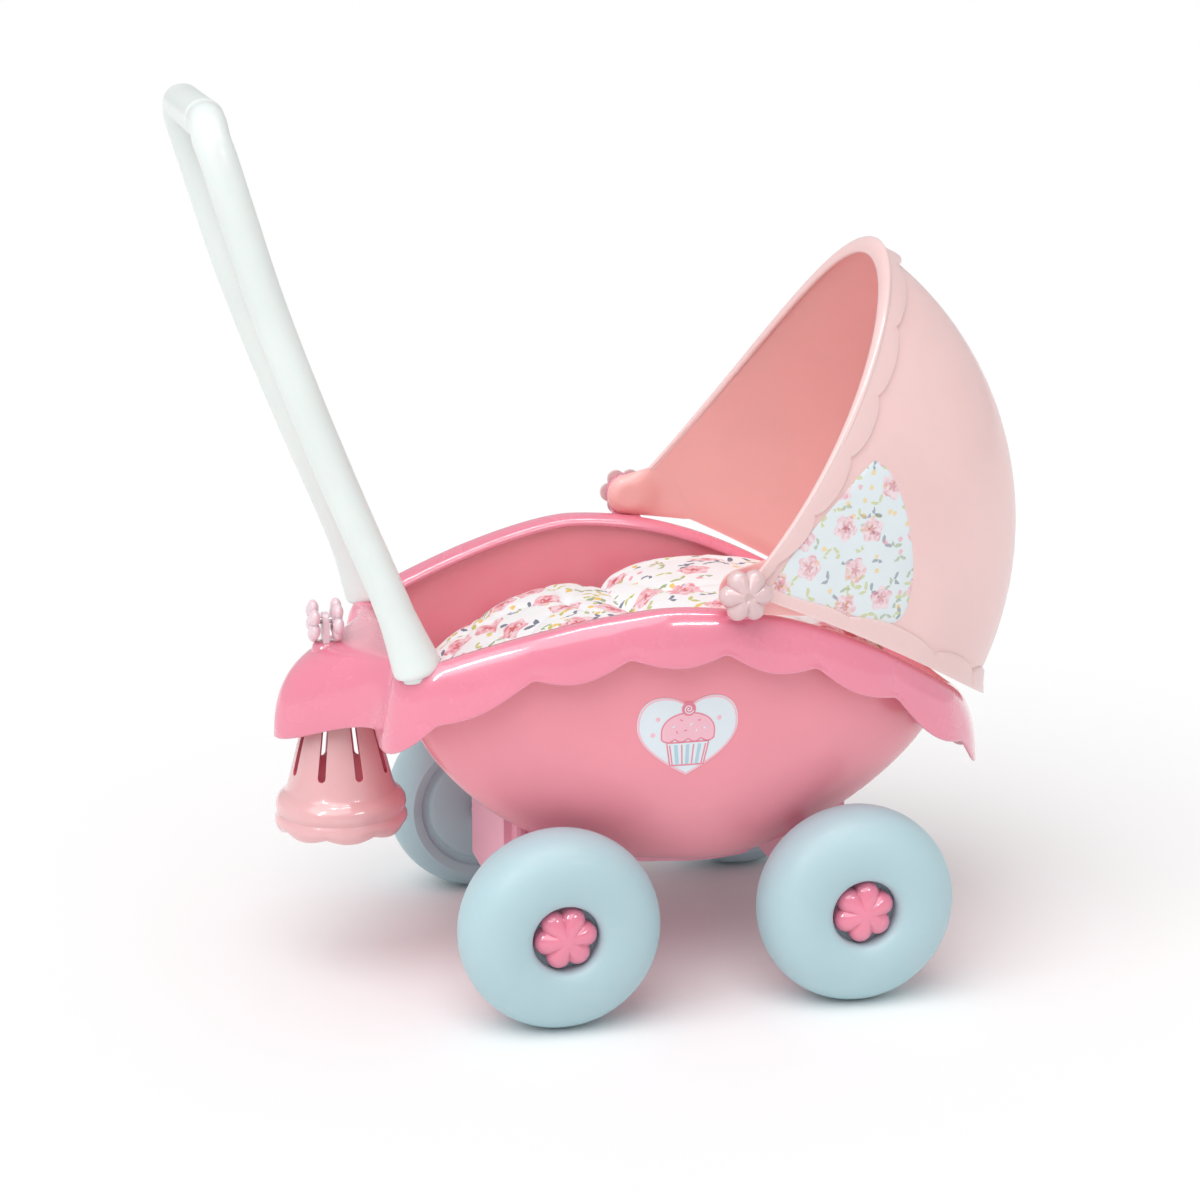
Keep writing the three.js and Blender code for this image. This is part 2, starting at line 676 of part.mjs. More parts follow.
/** Straight axle between the ends of its two wheels' bores. */
function axle(axleX) {
  const half = WHEEL_TRACK / 2 + 19.8 - HUB_HOLE_DEPTH + 2.5;
  return rod(vec(axleX, -half, WHEEL_RADIUS), vec(axleX, half, WHEEL_RADIUS), AXLE_RADIUS, 12);
}

// ---- Hood -----------------------------------------------------------------------------------------

/** A point of the hood's form: across 0 is the right pivot and 1 the left, turned up by degrees. */
function hoodPoint(across, degrees, outset) {
  const angle = Math.PI * across;
  const power = 2 / HOOD_EXPONENT;
  const radius = (HOOD_RADIUS + outset) * Math.sin(angle) ** power;
  const sideways = Math.sign(Math.cos(angle)) * Math.abs(Math.cos(angle)) ** power;
  const y = -(HOOD_HALF_WIDTH + outset) * sideways;
  const turn = radians(degrees);
  return vec(PIVOT.x + radius * Math.cos(turn), y, PIVOT.z + radius * Math.sin(turn));
}

const openingAngle = (reach) => 47 + 10 * reach ** 2;
const lowerAngle = (reach) => -20 - 7.5 * reach;

/** Hood shell with a raised band along its opening and a flared lower edge. */
function hoodShell() {
  const columns = 22;
  const start = 0.018;
  const outer = [];
  const inner = [];
  for (let i = 0; i <= columns; i += 1) {
    const across = lerp(start, 1 - start, i / columns);
    const reach = Math.sin(Math.PI * across);
    const [open, low] = [openingAngle(reach), lowerAngle(reach)];
    const band = 4.5;
    const rise = 2.2 * smooth(reach, 0.08, 0.3);
    const body = [0, 0.2, 0.4, 0.6, 0.8, 1].map((f) => [lerp(open - band - 0.6, low + 2.5, f), 0]);
    const rows = [[open, rise], [open - band, rise], ...body, [low, 7 * reach ** 2]];
    outer.push(rows.map(([angle, proud]) => hoodPoint(across, angle, proud)));
    const lip = -6 * reach ** 2;
    const depths = rows.map(([, proud], j) => (j < 2 ? lip : proud) - WALL);
    inner.push(rows.map(([angle], j) => hoodPoint(across, angle, depths[j])));
  }
  const shell = shellBody(outer, inner);
  const discs = [-1, 1].map((side) => rod(
    vec(PIVOT.x, side * (HOOD_HALF_WIDTH - 3.2), PIVOT.z),
    vec(PIVOT.x, side * (HOOD_HALF_WIDTH + 0.4), PIVOT.z),
    10.5,
    20,
  ));
  const bore = rod(vec(PIVOT.x, -140, PIVOT.z), vec(PIVOT.x, 140, PIVOT.z), 3);
  return cut(join(shell, ...discs), bore);
}

/** Thin printed panel on the hood's side, behind the raised band. */
function hoodPanel(side) {
  const lower = [[109, 236], [150, 222], [194, 208]];
  const upper = [[199, 235], [195, 261], [171, 298], [146, 273], [122, 252]];
  const shape = new THREE.Shape([...lower, ...upper].map(([x, z]) => new THREE.Vector2(x, z)));
  const prism = side > 0 ? platesAcross(shape, 60, 140) : platesAcross(shape, -140, -60);
  const rows = 12;
  const outer = [];
  const inner = [];
  for (let i = 0; i <= rows; i += 1) {
    const across = lerp(0.012, 0.3, i / rows);
    const place = side > 0 ? 1 - across : across;
    const angles = [-26, -14, -2, 10, 22, 34, 46];
    outer.push(angles.map((angle) => hoodPoint(place, angle, 0.9)));
    inner.push(angles.map((angle) => hoodPoint(place, angle, 0.35)));
  }
  return common(shellBody(outer, inner), prism);
}

/** Flower knob on the outside of an ear. */
function hoodKnob(side) {
  const [near, far] = [EAR.outer + 0.6, EAR.outer + 8.4];
  const shape = flowerShape(14.5);
  const [low, high] = side > 0 ? [near, far] : [-far, -near];
  const petals = platesAcross(shape, low, high, 2.2, 1);
  petals.translate(PIVOT.x, 0, PIVOT.z);
  const [mouth, seat] = [near - 1, far - 2.2].map((y) => vec(PIVOT.x, side * y, PIVOT.z));
  return cut(petals, rod(mouth, seat, PIN_RADIUS + GAP, 12));
}

/** Headed pin from inside the hood, through its disc and the ear, into the knob. */
function hoodPin(side) {
  const start = HOOD_HALF_WIDTH - 6;
  const end = EAR.outer + 5.8;
  const head = [[0, start], [5, start], [5, start + 2.2]];
  const pin = turned([...head, [PIN_RADIUS, start + 2.2], [PIN_RADIUS, end], [0, end]], 12);
  if (side < 0) pin.rotateX(Math.PI);
  pin.translate(PIVOT.x, 0, PIVOT.z);
  return pin;
}

// ---- Bell and deck flower -------------------------------------------------------------------------

/** Hanging bell: a slotted neck over a wide ribbed mouth with a scalloped edge, open below. */
function bellCage() {
  const band = [[34.5, 0], [36.8, 5], [35.6, 10], [36.2, 16]];
  const neck = [[30, 23.5], [25.6, 42], [21.7, 56], [15, 79], [0, 85]];
  const inside = [[12.5, 78], [19.4, 56], [27.6, 24], [33.9, 14], [32.2, 0]];
  const bell = turned([[0, 82.6], ...inside, ...band, ...neck], 20);
  bell.rotateX(Math.PI / 2);
  const { position } = bell.attributes;
  for (let i = 0; i < position.count; i += 1) {
    if (position.getZ(i) < 1) {
      const around = Math.atan2(position.getY(i), position.getX(i));
      position.setZ(i, position.getZ(i) + 2.6 * (1 - Math.abs(Math.cos(4 * around))));
    }
  }
  bell.translate(BELL.x, 0, BELL.bottom);
  const slots = [22.5, 67.5, 112.5, 157.5].map((degrees) => {
    const slot = box(-50, 50, -2.7, 2.7, BELL.bottom + 28, BELL.bottom + 64);
    return slot.rotateZ(radians(degrees)).translate(BELL.x, 0, 0);
  });
  const holeFoot = vec(BELL.x, 0, BELL.neckTop - 8);
  const hole = rod(holeFoot, holeFoot.clone().setZ(BELL.neckTop + 2), SCREW_HOLE_RADIUS, 10);
  return cut(bell, ...slots, hole);
}

/** Upright post on the deck that carries the flowers' shaft. */
function deckPost() {
  const { x, z } = DECK_FLOWER;
  const shape = new THREE.Shape();
  shape.moveTo(-6, 175 - z);
  shape.lineTo(6, 175 - z);
  shape.lineTo(4.5, 0);
  shape.absarc(0, 0, 4.5, 0, Math.PI, false);
  const plate = new THREE.ExtrudeGeometry(shape, { depth: 4, bevelEnabled: false, curveSegments: 8 });
  plate.rotateX(Math.PI / 2);
  plate.rotateZ(Math.PI / 2);
  plate.translate(x - 2, 0, z);
  const bore = rod(vec(x - 9, 0, z), vec(x + 9, 0, z), SHAFT_RADIUS + GAP, 10);
  return cut(closed(plate), rimForm(GAP), bore);
}

/** One of the two flowers on the shaft. */
function deckFlower(x0, x1) {
  const { z } = DECK_FLOWER;
  const flower = platesAcross(flowerShape(12.5), x0, x1, 1.8, 1);
  flower.rotateZ(-Math.PI / 2);
  flower.translate(0, 0, z);
  return cut(flower, rod(vec(x0 - 9, 0, z), vec(x1 + 9, 0, z), SHAFT_RADIUS + GAP, 10));
}

// ---- Stickers and bedding -------------------------------------------------------------------------

/** Heart outline about the origin, its width and height given. */
function heartShape(width, height) {
  const [w, h] = [width / 2, height / 2];
  const shape = new THREE.Shape();
  shape.moveTo(0, -h);
  shape.bezierCurveTo(w * 0.55, -h * 0.62, w, -h * 0.2, w, h * 0.3);
  shape.bezierCurveTo(w, h * 0.85, w * 0.72, h, w * 0.5, h);
  shape.bezierCurveTo(w * 0.24, h, w * 0.04, h * 0.84, 0, h * 0.68);
  shape.bezierCurveTo(-w * 0.04, h * 0.84, -w * 0.24, h, -w * 0.5, h);
  shape.bezierCurveTo(-w * 0.72, h, -w, h * 0.85, -w, h * 0.3);
  shape.bezierCurveTo(-w, -h * 0.2, -w * 0.55, -h * 0.62, 0, -h);
  return shape;
}

/** Heart sticker on the tub's side. */
function heartSticker(side) {
  const shape = heartShape(55, 45);
  const prism = side > 0 ? platesAcross(shape, 70, 125, 0, 4) : platesAcross(shape, -125, -70, 0, 4);
  prism.translate(72, 0, 155);
  return common(cut(tubForm(0.9, 1), tubForm(0.35, 3)), prism);
}

/** A soft pad with a rounded plan and a crowned top that rises along X. */
function pad(x0, x1, halfWidth, z0, topAt) {
  const middle = (x0 + x1) / 2;
  const half = (x1 - x0) / 2;
  const segments = 20;
  const ring = (scale, height) => {
    const points = [];
    for (let i = 0; i < segments; i += 1) {
      const angle = (2 * Math.PI * i) / segments;
      const [c, s] = [Math.cos(angle), Math.sin(angle)];
      const x = middle + half * scale * Math.sign(c) * Math.abs(c) ** 0.6;
      const y = halfWidth * scale * Math.sign(s) * Math.abs(s) ** 0.6;
      points.push(vec(x, y, z0 + (topAt(x) - z0) * height));
    }
    return points;
  };
  const side = [[0.5, 0], [0.93, 0], [1, 0.2], [1, 0.5], [0.92, 0.8], [0.75, 0.95], [0.4, 1]];
  return ringBody(side.map(([scale, height]) => ring(scale, height)));
}

/** The space inside the tub that the bedding may fill. */
const bedSpace = (lift) => tubForm(-WALL - BEDDING_GAP, lift);

/** Mattress held part-way up by the tub's narrowing walls. */
function mattress() {
  const slab = box(-60, 222, -110, 110, BED_TOP_Z - MATTRESS_THICKNESS, BED_TOP_Z);
  return common(bedSpace(0), slab);
}

function blanket() {
  const rising = (x) => Math.sin((Math.PI / 2) * THREE.MathUtils.clamp((x + 42) / 100, 0, 1));
  const top = (x) => BED_TOP_Z + 4 + 39 * rising(x);
  return common(pad(-52, 77, 112, BED_TOP_Z + 2 * GAP, top), bedSpace(8));
}

function pillow() {
  const top = (x) => BED_TOP_Z + 55 - 30 * ((x - 130) / 80) ** 2;
  return common(pad(78, 200, 112, BED_TOP_Z + 2 * GAP, top), bedSpace(8));
}

// ---- Assembly -------------------------------------------------------------------------------------

const pram = new THREE.Group();

function add(name, geometry, material, placement = null) {
  const mesh = new THREE.Mesh(geometry, material.clone());
  mesh.name = name;
  if (placement) {
    mesh.position.copy(placement.position);
    mesh.rotation.copy(placement.rotation);
  }
  pram.add(mesh);
}

add('tub_shell', tubShell(), MATERIALS.tub);
add('rim_skirt', rimSkirt(), MATERIALS.rim);
add('base_plate', basePlate(), MATERIALS.rim);

const AXLES = { rear: 0, front: WHEEL_BASE };
for (const [end, axleX] of Object.entries(AXLES)) {
  add(`axle_bracket_${end}`, axleBracket(axleX), MATERIALS.rim);
  add(`axle_${end}`, axle(axleX), MATERIALS.steel);
  for (const [hand, side] of [['left', 1], ['right', -1]]) {
    const placement = {
      position: vec(axleX, (side * WHEEL_TRACK) / 2, WHEEL_RADIUS),
      rotation: new THREE.Euler(side > 0 ? 0 : Math.PI, 0, 0),
    };
    add(`wheel_${end}_${hand}`, wheelShell(), MATERIALS.aqua, placement);
    add(`wheel_cover_${end}_${hand}`, wheelCover(), MATERIALS.aqua, placement);
    add(`axle_cap_${end}_${hand}`, axleClip(), MATERIALS.steel, placement);
    add(`hub_flower_${end}_${hand}`, hubFlower(), MATERIALS.hub, placement);
  }
}
BRACKET_SCREWS.forEach((x, i) => {
  add(`bracket_screw_${i + 1}`, screw(x, 0, keelHeight(x) - 6.6, SCREW_REACH + 5), MATERIALS.steel);
});

for (const [hand, side] of [['left', 1], ['right', -1]]) {
  add(`handle_arm_${hand}`, handleArm(side), MATERIALS.handle);
  const fixing = screw(ARM_PATH[0][0], side * HANDLE_HALF_WIDTH, 179.2, 26.5, 5.6);
  add(`handle_screw_${hand}`, fixing, MATERIALS.steel);
  add(`hood_panel_${hand}`, hoodPanel(side), MATERIALS.fabric);
  add(`hood_knob_${hand}`, hoodKnob(side), MATERIALS.knob);
  add(`hood_pin_${hand}`, hoodPin(side), MATERIALS.steel);
  add(`heart_sticker_${hand}`, heartSticker(side), MATERIALS.fabric);
}
add('handle_grip', handleGrip(), MATERIALS.handle);
add('hood_shell', hoodShell(), MATERIALS.hood);

add('bell_cage', bellCage(), MATERIALS.bell);
add('bell_screw', screw(BELL.x, 0, BELL.neckTop - 4.3, 17.5), MATERIALS.steel);
add('deck_post', deckPost(), MATERIALS.rim);
add('deck_flower_front', deckFlower(DECK_FLOWER.x + 3, DECK_FLOWER.x + 10), MATERIALS.knob);
add('deck_flower_rear', deckFlower(DECK_FLOWER.x - 10, DECK_FLOWER.x - 3), MATERIALS.knob);
const shaftEnds = [-9.5, 9.5].map((out) => vec(DECK_FLOWER.x + out, 0, DECK_FLOWER.z));
add('deck_flower_shaft', rod(...shaftEnds, SHAFT_RADIUS, 10), MATERIALS.steel);

add('mattress', mattress(), MATERIALS.fabric);
add('blanket', blanket(), MATERIALS.fabric);
add('pillow', pillow(), MATERIALS.fabric);

pram.position.x = SHIFT_X;

export default pram;
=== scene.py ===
import math

import bmesh
import bpy
import numpy as np
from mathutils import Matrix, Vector
from mathutils.bvhtree import BVHTree


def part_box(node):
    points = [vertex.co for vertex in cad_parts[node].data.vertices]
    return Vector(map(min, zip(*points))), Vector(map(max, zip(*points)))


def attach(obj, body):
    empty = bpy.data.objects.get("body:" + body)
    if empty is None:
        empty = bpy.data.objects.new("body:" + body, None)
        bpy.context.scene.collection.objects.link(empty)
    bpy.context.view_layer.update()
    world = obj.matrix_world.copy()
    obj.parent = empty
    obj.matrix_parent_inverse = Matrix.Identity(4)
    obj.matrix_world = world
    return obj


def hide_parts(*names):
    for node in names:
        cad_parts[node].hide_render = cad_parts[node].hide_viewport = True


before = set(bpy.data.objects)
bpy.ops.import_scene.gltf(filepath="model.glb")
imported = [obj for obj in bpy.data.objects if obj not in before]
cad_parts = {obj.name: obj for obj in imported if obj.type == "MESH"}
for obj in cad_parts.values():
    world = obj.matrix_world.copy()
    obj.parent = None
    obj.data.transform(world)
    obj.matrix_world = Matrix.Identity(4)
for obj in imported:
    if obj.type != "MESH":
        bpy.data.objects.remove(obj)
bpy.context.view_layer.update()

# ---- Places taken from the frame ----


def centre(node):
    low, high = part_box(node)
    return (Vector(low) + Vector(high)) / 2


REAR_AXLE = centre("axle_rear")
FRONT_AXLE = centre("axle_front")
HALF_TRACK = (centre("wheel_rear_left").y - centre("wheel_rear_right").y) * 500
KNOB = centre("hood_knob_right")
BELL_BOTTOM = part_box("bell_cage")[0][2]
BELL_CENTRE = centre("bell_cage")
SPINNER = centre("deck_flower_shaft")
GRIP = centre("handle_grip")
BED_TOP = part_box("mattress")[1][2]


def at(x, y, z):
    """A point in the row frame from millimetres, X measured from the rear axle."""
    return Vector((REAR_AXLE.x + x / 1000, y / 1000, z / 1000))


# The pram's lines in millimetres, as in the CAD model
MIDSHIP_X, RIM_REAR_X, RIM_FRONT_X = 58.0, -76.0, 245.0
RIM_HALF_WIDTH, RIM_REAR_HALF_WIDTH, RIM_TOP_Z = 117.0, 83.0, 228.5
SKIRT_FLARE, TONGUE_LENGTH, TONGUE_HALF_WIDTH = 12.0, 48.0, 55.0
TUB_CENTRE_X, TUB_BOTTOM_Z, TUB_EDGE_DROP, WALL = 100.0, 60.0, 7.2, 2.5
TUB_REAR, TUB_FRONT, TUB_SIDE = 1.8, 1.5, 3.0
PIVOT_X = (KNOB.x - REAR_AXLE.x) * 1000
PIVOT_Z = KNOB.z * 1000
HOOD_RADIUS, HOOD_HALF_WIDTH, HOOD_TAPER, HOOD_FLANGE = 197.0, 124.0, 1.2, 6.0
HANDLE_HALF_WIDTH, HANDLE_RADIUS = 83.0, 9.6
FRONT_PLAN_POWER = 2.6
HEART_CENTRE = np.array((70.5, 157.0))
SLOT_COUNT, FIRST_SLOT_ANGLE = 8, 14.4

SIDES = (("left", 1), ("right", -1))
AXLES = (("rear", REAR_AXLE), ("front", FRONT_AXLE))
WHEELS = [(end, hand, side, axle) for end, axle in AXLES for hand, side in SIDES]

# ---- Small helpers ----


def smooth(x, low, high):
    t = np.clip((x - low) / (high - low), 0, 1)
    return t * t * (3 - 2 * t)


def linear(red, green, blue):
    """A linear colour from sRGB values of 0 to 255."""
    def one(value):
        value /= 255
        return value / 12.92 if value <= 0.04045 else ((value + 0.055) / 1.055) ** 2.4
    return (one(red), one(green), one(blue), 1.0)


def make(name, vertices, faces, material, body, smooth_angle, stands_for=(), index=None):
    """A mesh object from millimetre points, smooth below an angle. It rides on a body, takes its finish from
    a material slot and stands for the CAD nodes named."""
    mesh = bpy.data.meshes.new(name)
    mesh.from_pydata([at(*p) for p in vertices], [], [tuple(map(int, f)) for f in faces])
    for one in material if isinstance(material, list) else [material]:
        mesh.materials.append(one)
    if index is not None:
        mesh.polygons.foreach_set("material_index", np.array(index, np.int32))
    work = bmesh.new()
    work.from_mesh(mesh)
    bmesh.ops.remove_doubles(work, verts=work.verts, dist=1e-6)
    bmesh.ops.recalc_face_normals(work, faces=work.faces)
    work.to_mesh(mesh)
    work.free()
    mesh.shade_smooth()
    mesh.set_sharp_from_angle(angle=math.radians(smooth_angle))
    piece = bpy.data.objects.new(name, mesh)
    bpy.context.scene.collection.objects.link(piece)
    if body:
        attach(piece, body)
    if stands_for:
        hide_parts(*stands_for)
    return piece


def apply_modifiers(piece):
    """Replaces the piece's mesh by its evaluated one, so no modifier is left."""
    bpy.context.view_layer.update()
    graph = bpy.context.evaluated_depsgraph_get()
    mesh = bpy.data.meshes.new_from_object(piece.evaluated_get(graph))
    piece.modifiers.clear()
    piece.data = mesh
    return piece


def subdivide(piece, levels=1):
    modifier = piece.modifiers.new("subdivision", "SUBSURF")
    modifier.levels = modifier.render_levels = levels
    return apply_modifiers(piece)


def grid_faces(rows, columns, close_rows=False, close_columns=False, start=0):
    """Quads between the points of a grid stored row by row."""
    faces = []
    for i in range(rows if close_rows else rows - 1):
        for j in range(columns if close_columns else columns - 1):
            a, b = i * columns, ((i + 1) % rows) * columns
            k = (j + 1) % columns
            faces.append((start + a + j, start + a + k, start + b + k, start + b + j))
    return faces


def tube_faces(rows, section):
    """Faces of a closed tube: quads between its sections and a flat cap on each end."""
    total = rows * section
    caps = [tuple(range(section)), tuple(range(total - 1, total - section - 1, -1))]
    return grid_faces(rows, section, close_columns=True) + caps


def capped_rings(rows):
    """Points and faces of a closed form made of rings, with a middle point in the first and the last."""
    rows = np.array(rows, float)
    count = rows.shape[1]
    points = np.concatenate([rows.reshape(-1, 3), [rows[0].mean(axis=0)], [rows[-1].mean(axis=0)]])
    faces = grid_faces(len(rows), count, close_columns=True)
    for base, tip in ((0, len(points) - 2), ((len(rows) - 1) * count, len(points) - 1)):
        faces += [(base + j, base + (j + 1) % count, tip) for j in range(count)]
    return points, faces


def thin_sheet(outline, middle, rings, place, rises, edge_drop=0.0):
    """A thin closed sheet that is star-shaped about its middle. place puts (x, z, rise) on a surface, rises
    gives the outer and inner skin, and edge_drop rounds the outer skin's edge."""
    outline, middle = np.array(outline, float), np.array(middle, float)
    points = []
    for rise, drop in zip(rises, (edge_drop, 0.0)):
        for k in range(rings + 1):
            for x, z in middle + (outline - middle) * k / rings:
                points.append(place(x, z, rise - drop if k == rings else rise))
    count = len(outline)
    sheet, edge = (rings + 1) * count, rings * count
    faces = grid_faces(rings + 1, count, close_columns=True)
    faces += grid_faces(rings + 1, count, close_columns=True, start=sheet)
    faces += [(edge + j, edge + (j + 1) % count, sheet + edge + (j + 1) % count, sheet + edge + j)
              for j in range(count)]
    return points, faces


def arc(radius, first, last, step, up=0.0):
    """Points of an arc about (0, up) from one angle in degrees to another."""
    turns = np.radians(np.arange(first, last + 1, step))
    return [(radius * math.cos(turn), up + radius * math.sin(turn)) for turn in turns]


def lathe(profile, segments):
    """Points and faces of a closed body of revolution about Y from (radius, y) pairs."""
    points, rings = [], []
    for radius, y in profile:
        if radius < 1e-6:
            rings.append([len(points)])
            points.append((0, y, 0))
            continue
        rings.append(list(range(len(points), len(points) + segments)))
        for i in range(segments):
            angle = 2 * math.pi * i / segments
            points.append((radius * math.cos(angle), y, radius * math.sin(angle)))
    faces = []
    for here, after in zip(rings, rings[1:] + rings[:1]):
        if len(here) == 1 and len(after) == 1:
            continue
        for i in range(segments):
            k = (i + 1) % segments
            quad = [here[i % len(here)], here[k % len(here)], after[k % len(after)], after[i % len(after)]]
            faces.append(tuple(dict.fromkeys(quad)))
    return points, faces


def catmull(points, steps):
    """A smooth Catmull-Rom line through points, its ends repeated."""
    p = np.array([points[0]] + list(points) + [points[-1]], float)
    out = []
    for i in range(1, len(p) - 2):
        for k in range(steps):
            t = k / steps
            a, b, c, d = p[i - 1], p[i], p[i + 1], p[i + 2]
            out.append(0.5 * (2 * b + (c - a) * t + (2 * a - 5 * b + 4 * c - d) * t**2
                              + (3 * b - a - 3 * c + d) * t**3))
    out.append(p[-2])
    return np.array(out)


# ---- Materials ----


class Nodes:
    """Short forms for building a node material."""

    def __init__(self, name):
        self.material = bpy.data.materials.new(name)
        self.material.use_nodes = True
        self.tree = self.material.node_tree
        self.shader = self.tree.nodes["Principled BSDF"]

    def add(self, kind, **settings):
        node = self.tree.nodes.new(kind)
        for key, value in settings.items():
            setattr(node, key, value)
        return node

    def link(self, source, target):
        self.tree.links.new(source, target)

    def math(self, operation, *values):
        node = self.add("ShaderNodeMath", operation=operation)
        for i, value in enumerate(values):
            if isinstance(value, (int, float)):
                node.inputs[i].default_value = value
            else:
                self.link(value, node.inputs[i])
        return node.outputs[0]

    def times(self, first, second):
        return self.math("MULTIPLY", first, second)

    def plus(self, first, second):
        return self.math("ADD", first, second)

    def less(self, first, second):
        return self.math("SUBTRACT", first, second)

    def step(self, value, low, high):
        """0 below low, 1 above high and smooth between."""
        node = self.add("ShaderNodeMapRange", interpolation_type="SMOOTHSTEP")
        self.link(value, node.inputs["Value"])
        node.inputs["From Min"].default_value = low
        node.inputs["From Max"].default_value = high
        return node.outputs["Result"]

    def mix(self, factor, first, second):
        """A colour between two: each is a colour or a socket."""
        node = self.add("ShaderNodeMix", data_type="RGBA")
        if isinstance(factor, (int, float)):
            node.inputs[0].default_value = factor
        else:
            self.link(factor, node.inputs[0])
        for socket, value in ((node.inputs[6], first), (node.inputs[7], second)):
            if isinstance(value, tuple):
                socket.default_value = value
            else:
                self.link(value, socket)
        return node.outputs[2]

    def noise(self, scale, detail=2.0, vector=None):
        node = self.add("ShaderNodeTexNoise")
        node.inputs["Scale"].default_value = scale
        node.inputs["Detail"].default_value = detail
        self.link(vector or self.add("ShaderNodeTexCoord").outputs["Object"], node.inputs["Vector"])
        return node.outputs["Fac"]

    def bump(self, height, strength, distance):
        node = self.add("ShaderNodeBump")
        node.inputs["Strength"].default_value = strength
        node.inputs["Distance"].default_value = distance
        self.link(height, node.inputs["Height"])
        self.link(node.outputs["Normal"], self.shader.inputs["Normal"])

    def set(self, **values):
        for key, value in values.items():
            self.shader.inputs[key.replace("_", " ")].default_value = value


def tinted(colour, factor):
    return tuple(min(1.0, c * factor) for c in colour[:3]) + (1.0,)


def plastic(name, colour, rough, coat=0.0, glow=0.0, orange_peel=0.05):
    """Moulded plastic: slow colour variation, a painted highlight that makes sharp convex edges paler, uneven
    gloss and a fine skin.
    """
    n = Nodes(name)
    cloud = n.step(n.noise(14.0, 3.0), 0.3, 0.7)
    base = n.mix(cloud, tinted(colour, 0.965), tinted(colour, 1.02))
    # Painted highlight: sharp convex edges are mixed a little toward a paler tint that stands in for the
    # light they catch.
    painted_edge_highlight = n.times(n.step(n.add("ShaderNodeNewGeometry").outputs["Pointiness"], 0.515, 0.56), 0.14)
    highlight_tint = tuple(c + (1 - c) * 0.35 for c in colour[:3]) + (1.0,)
    n.link(n.mix(painted_edge_highlight, base, highlight_tint), n.shader.inputs["Base Color"])
    low, high = rough * 0.85, rough * 1.2
    n.link(n.plus(n.times(n.noise(55.0, 4.0), high - low), low), n.shader.inputs["Roughness"])
    n.bump(n.plus(n.times(n.noise(900.0, 2.0), 0.5), n.noise(120.0, 1.0)), orange_peel, 0.0004)
    n.set(Coat_Weight=coat, Coat_Roughness=0.07, Subsurface_Weight=glow, Subsurface_Scale=0.006, IOR=1.46)
    n.shader.inputs["Subsurface Radius"].default_value = (1.0, 0.45, 0.4)
    return n.material


def metal(name):
    """Bright drawn steel with uneven polish."""
    n = Nodes(name)
    tone = n.step(n.noise(90.0, 3.0), 0.3, 0.7)
    n.link(n.mix(tone, (0.42, 0.43, 0.45, 1), (0.6, 0.61, 0.63, 1)), n.shader.inputs["Base Color"])
    n.link(n.plus(n.times(n.noise(400.0), 0.2), 0.2), n.shader.inputs["Roughness"])
    n.set(Metallic=1.0)
    return n.material


ROSE_PALE = linear(250, 212, 218)
ROSE_MID = linear(240, 152, 166)
ROSE_HEART = linear(214, 52, 76)
LEAF_YELLOW = linear(196, 196, 66)
LEAF_SAGE = linear(150, 168, 110)
LEAF_SLATE = linear(78, 90, 118)
DOT_YELLOW = linear(246, 200, 66)


def scattered_cells(n, coordinates, scale, shift):
    """Splits a flat surface into scattered cells. Gives a point's place in its cell, its unsteady place on
    the surface and three chances that are the same all over the cell."""
    move = n.add("ShaderNodeMapping")
    n.link(coordinates, move.inputs["Vector"])
    move.inputs["Location"].default_value = shift
    wobble = n.add("ShaderNodeTexNoise", noise_dimensions="2D")
    wobble.inputs["Scale"].default_value = 260.0
    n.link(move.outputs[0], wobble.inputs["Vector"])
    offset = n.add("ShaderNodeVectorMath", operation="MULTIPLY_ADD")
    n.link(wobble.outputs["Color"], offset.inputs[0])
    offset.inputs[1].default_value = (0.0022, 0.0022, 0)
    n.link(move.outputs[0], offset.inputs[2])
    cells = n.add("ShaderNodeTexVoronoi", voronoi_dimensions="2D", feature="F1")
    cells.inputs["Scale"].default_value = scale
    cells.inputs["Randomness"].default_value = 0.75
    n.link(offset.outputs[0], cells.inputs["Vector"])
    chance = n.add("ShaderNodeSeparateColor")
    n.link(cells.outputs["Color"], chance.inputs[0])
    away = n.add("ShaderNodeVectorMath", operation="SUBTRACT")
    n.link(offset.outputs[0], away.inputs[0])
    n.link(cells.outputs["Position"], away.inputs[1])
    turn = n.add("ShaderNodeVectorRotate", rotation_type="Z_AXIS")
    n.link(away.outputs[0], turn.inputs["Vector"])
    n.link(n.times(chance.outputs[0], 6.283), turn.inputs["Angle"])
    parts = n.add("ShaderNodeSeparateXYZ")
    n.link(turn.outputs[0], parts.inputs[0])
    return parts.outputs[0], parts.outputs[1], offset.outputs[0], chance.outputs


def rose(n, x, y, place, pick):
    """Mask and colour of a rose of pale petals with darker strokes and a deep heart."""
    radius = n.math("SQRT", n.plus(n.times(x, x), n.times(y, y)))
    angle = n.math("ARCTAN2", y, x)
    far = n.plus(radius, n.times(n.math("SINE", n.times(angle, 5.0)), 0.0012))
    petal = n.mix(n.step(n.noise(210.0, 3.0, place), 0.42, 0.62), ROSE_PALE, ROSE_MID)
    curl = n.math("SINE", n.plus(n.times(radius, 1500.0), n.times(angle, 2.0)))
    strokes = n.times(n.step(curl, 0.35, 0.9), n.step(n.noise(150.0, 2.0, place), 0.5, 0.6))
    petal = n.mix(n.times(strokes, 0.85), petal, ROSE_HEART)
    inner = n.less(1.0, n.step(far, 0.0022, 0.0038))
    return n.less(1.0, n.step(far, 0.0088, 0.0100)), n.mix(n.times(inner, 0.92), petal, ROSE_HEART)


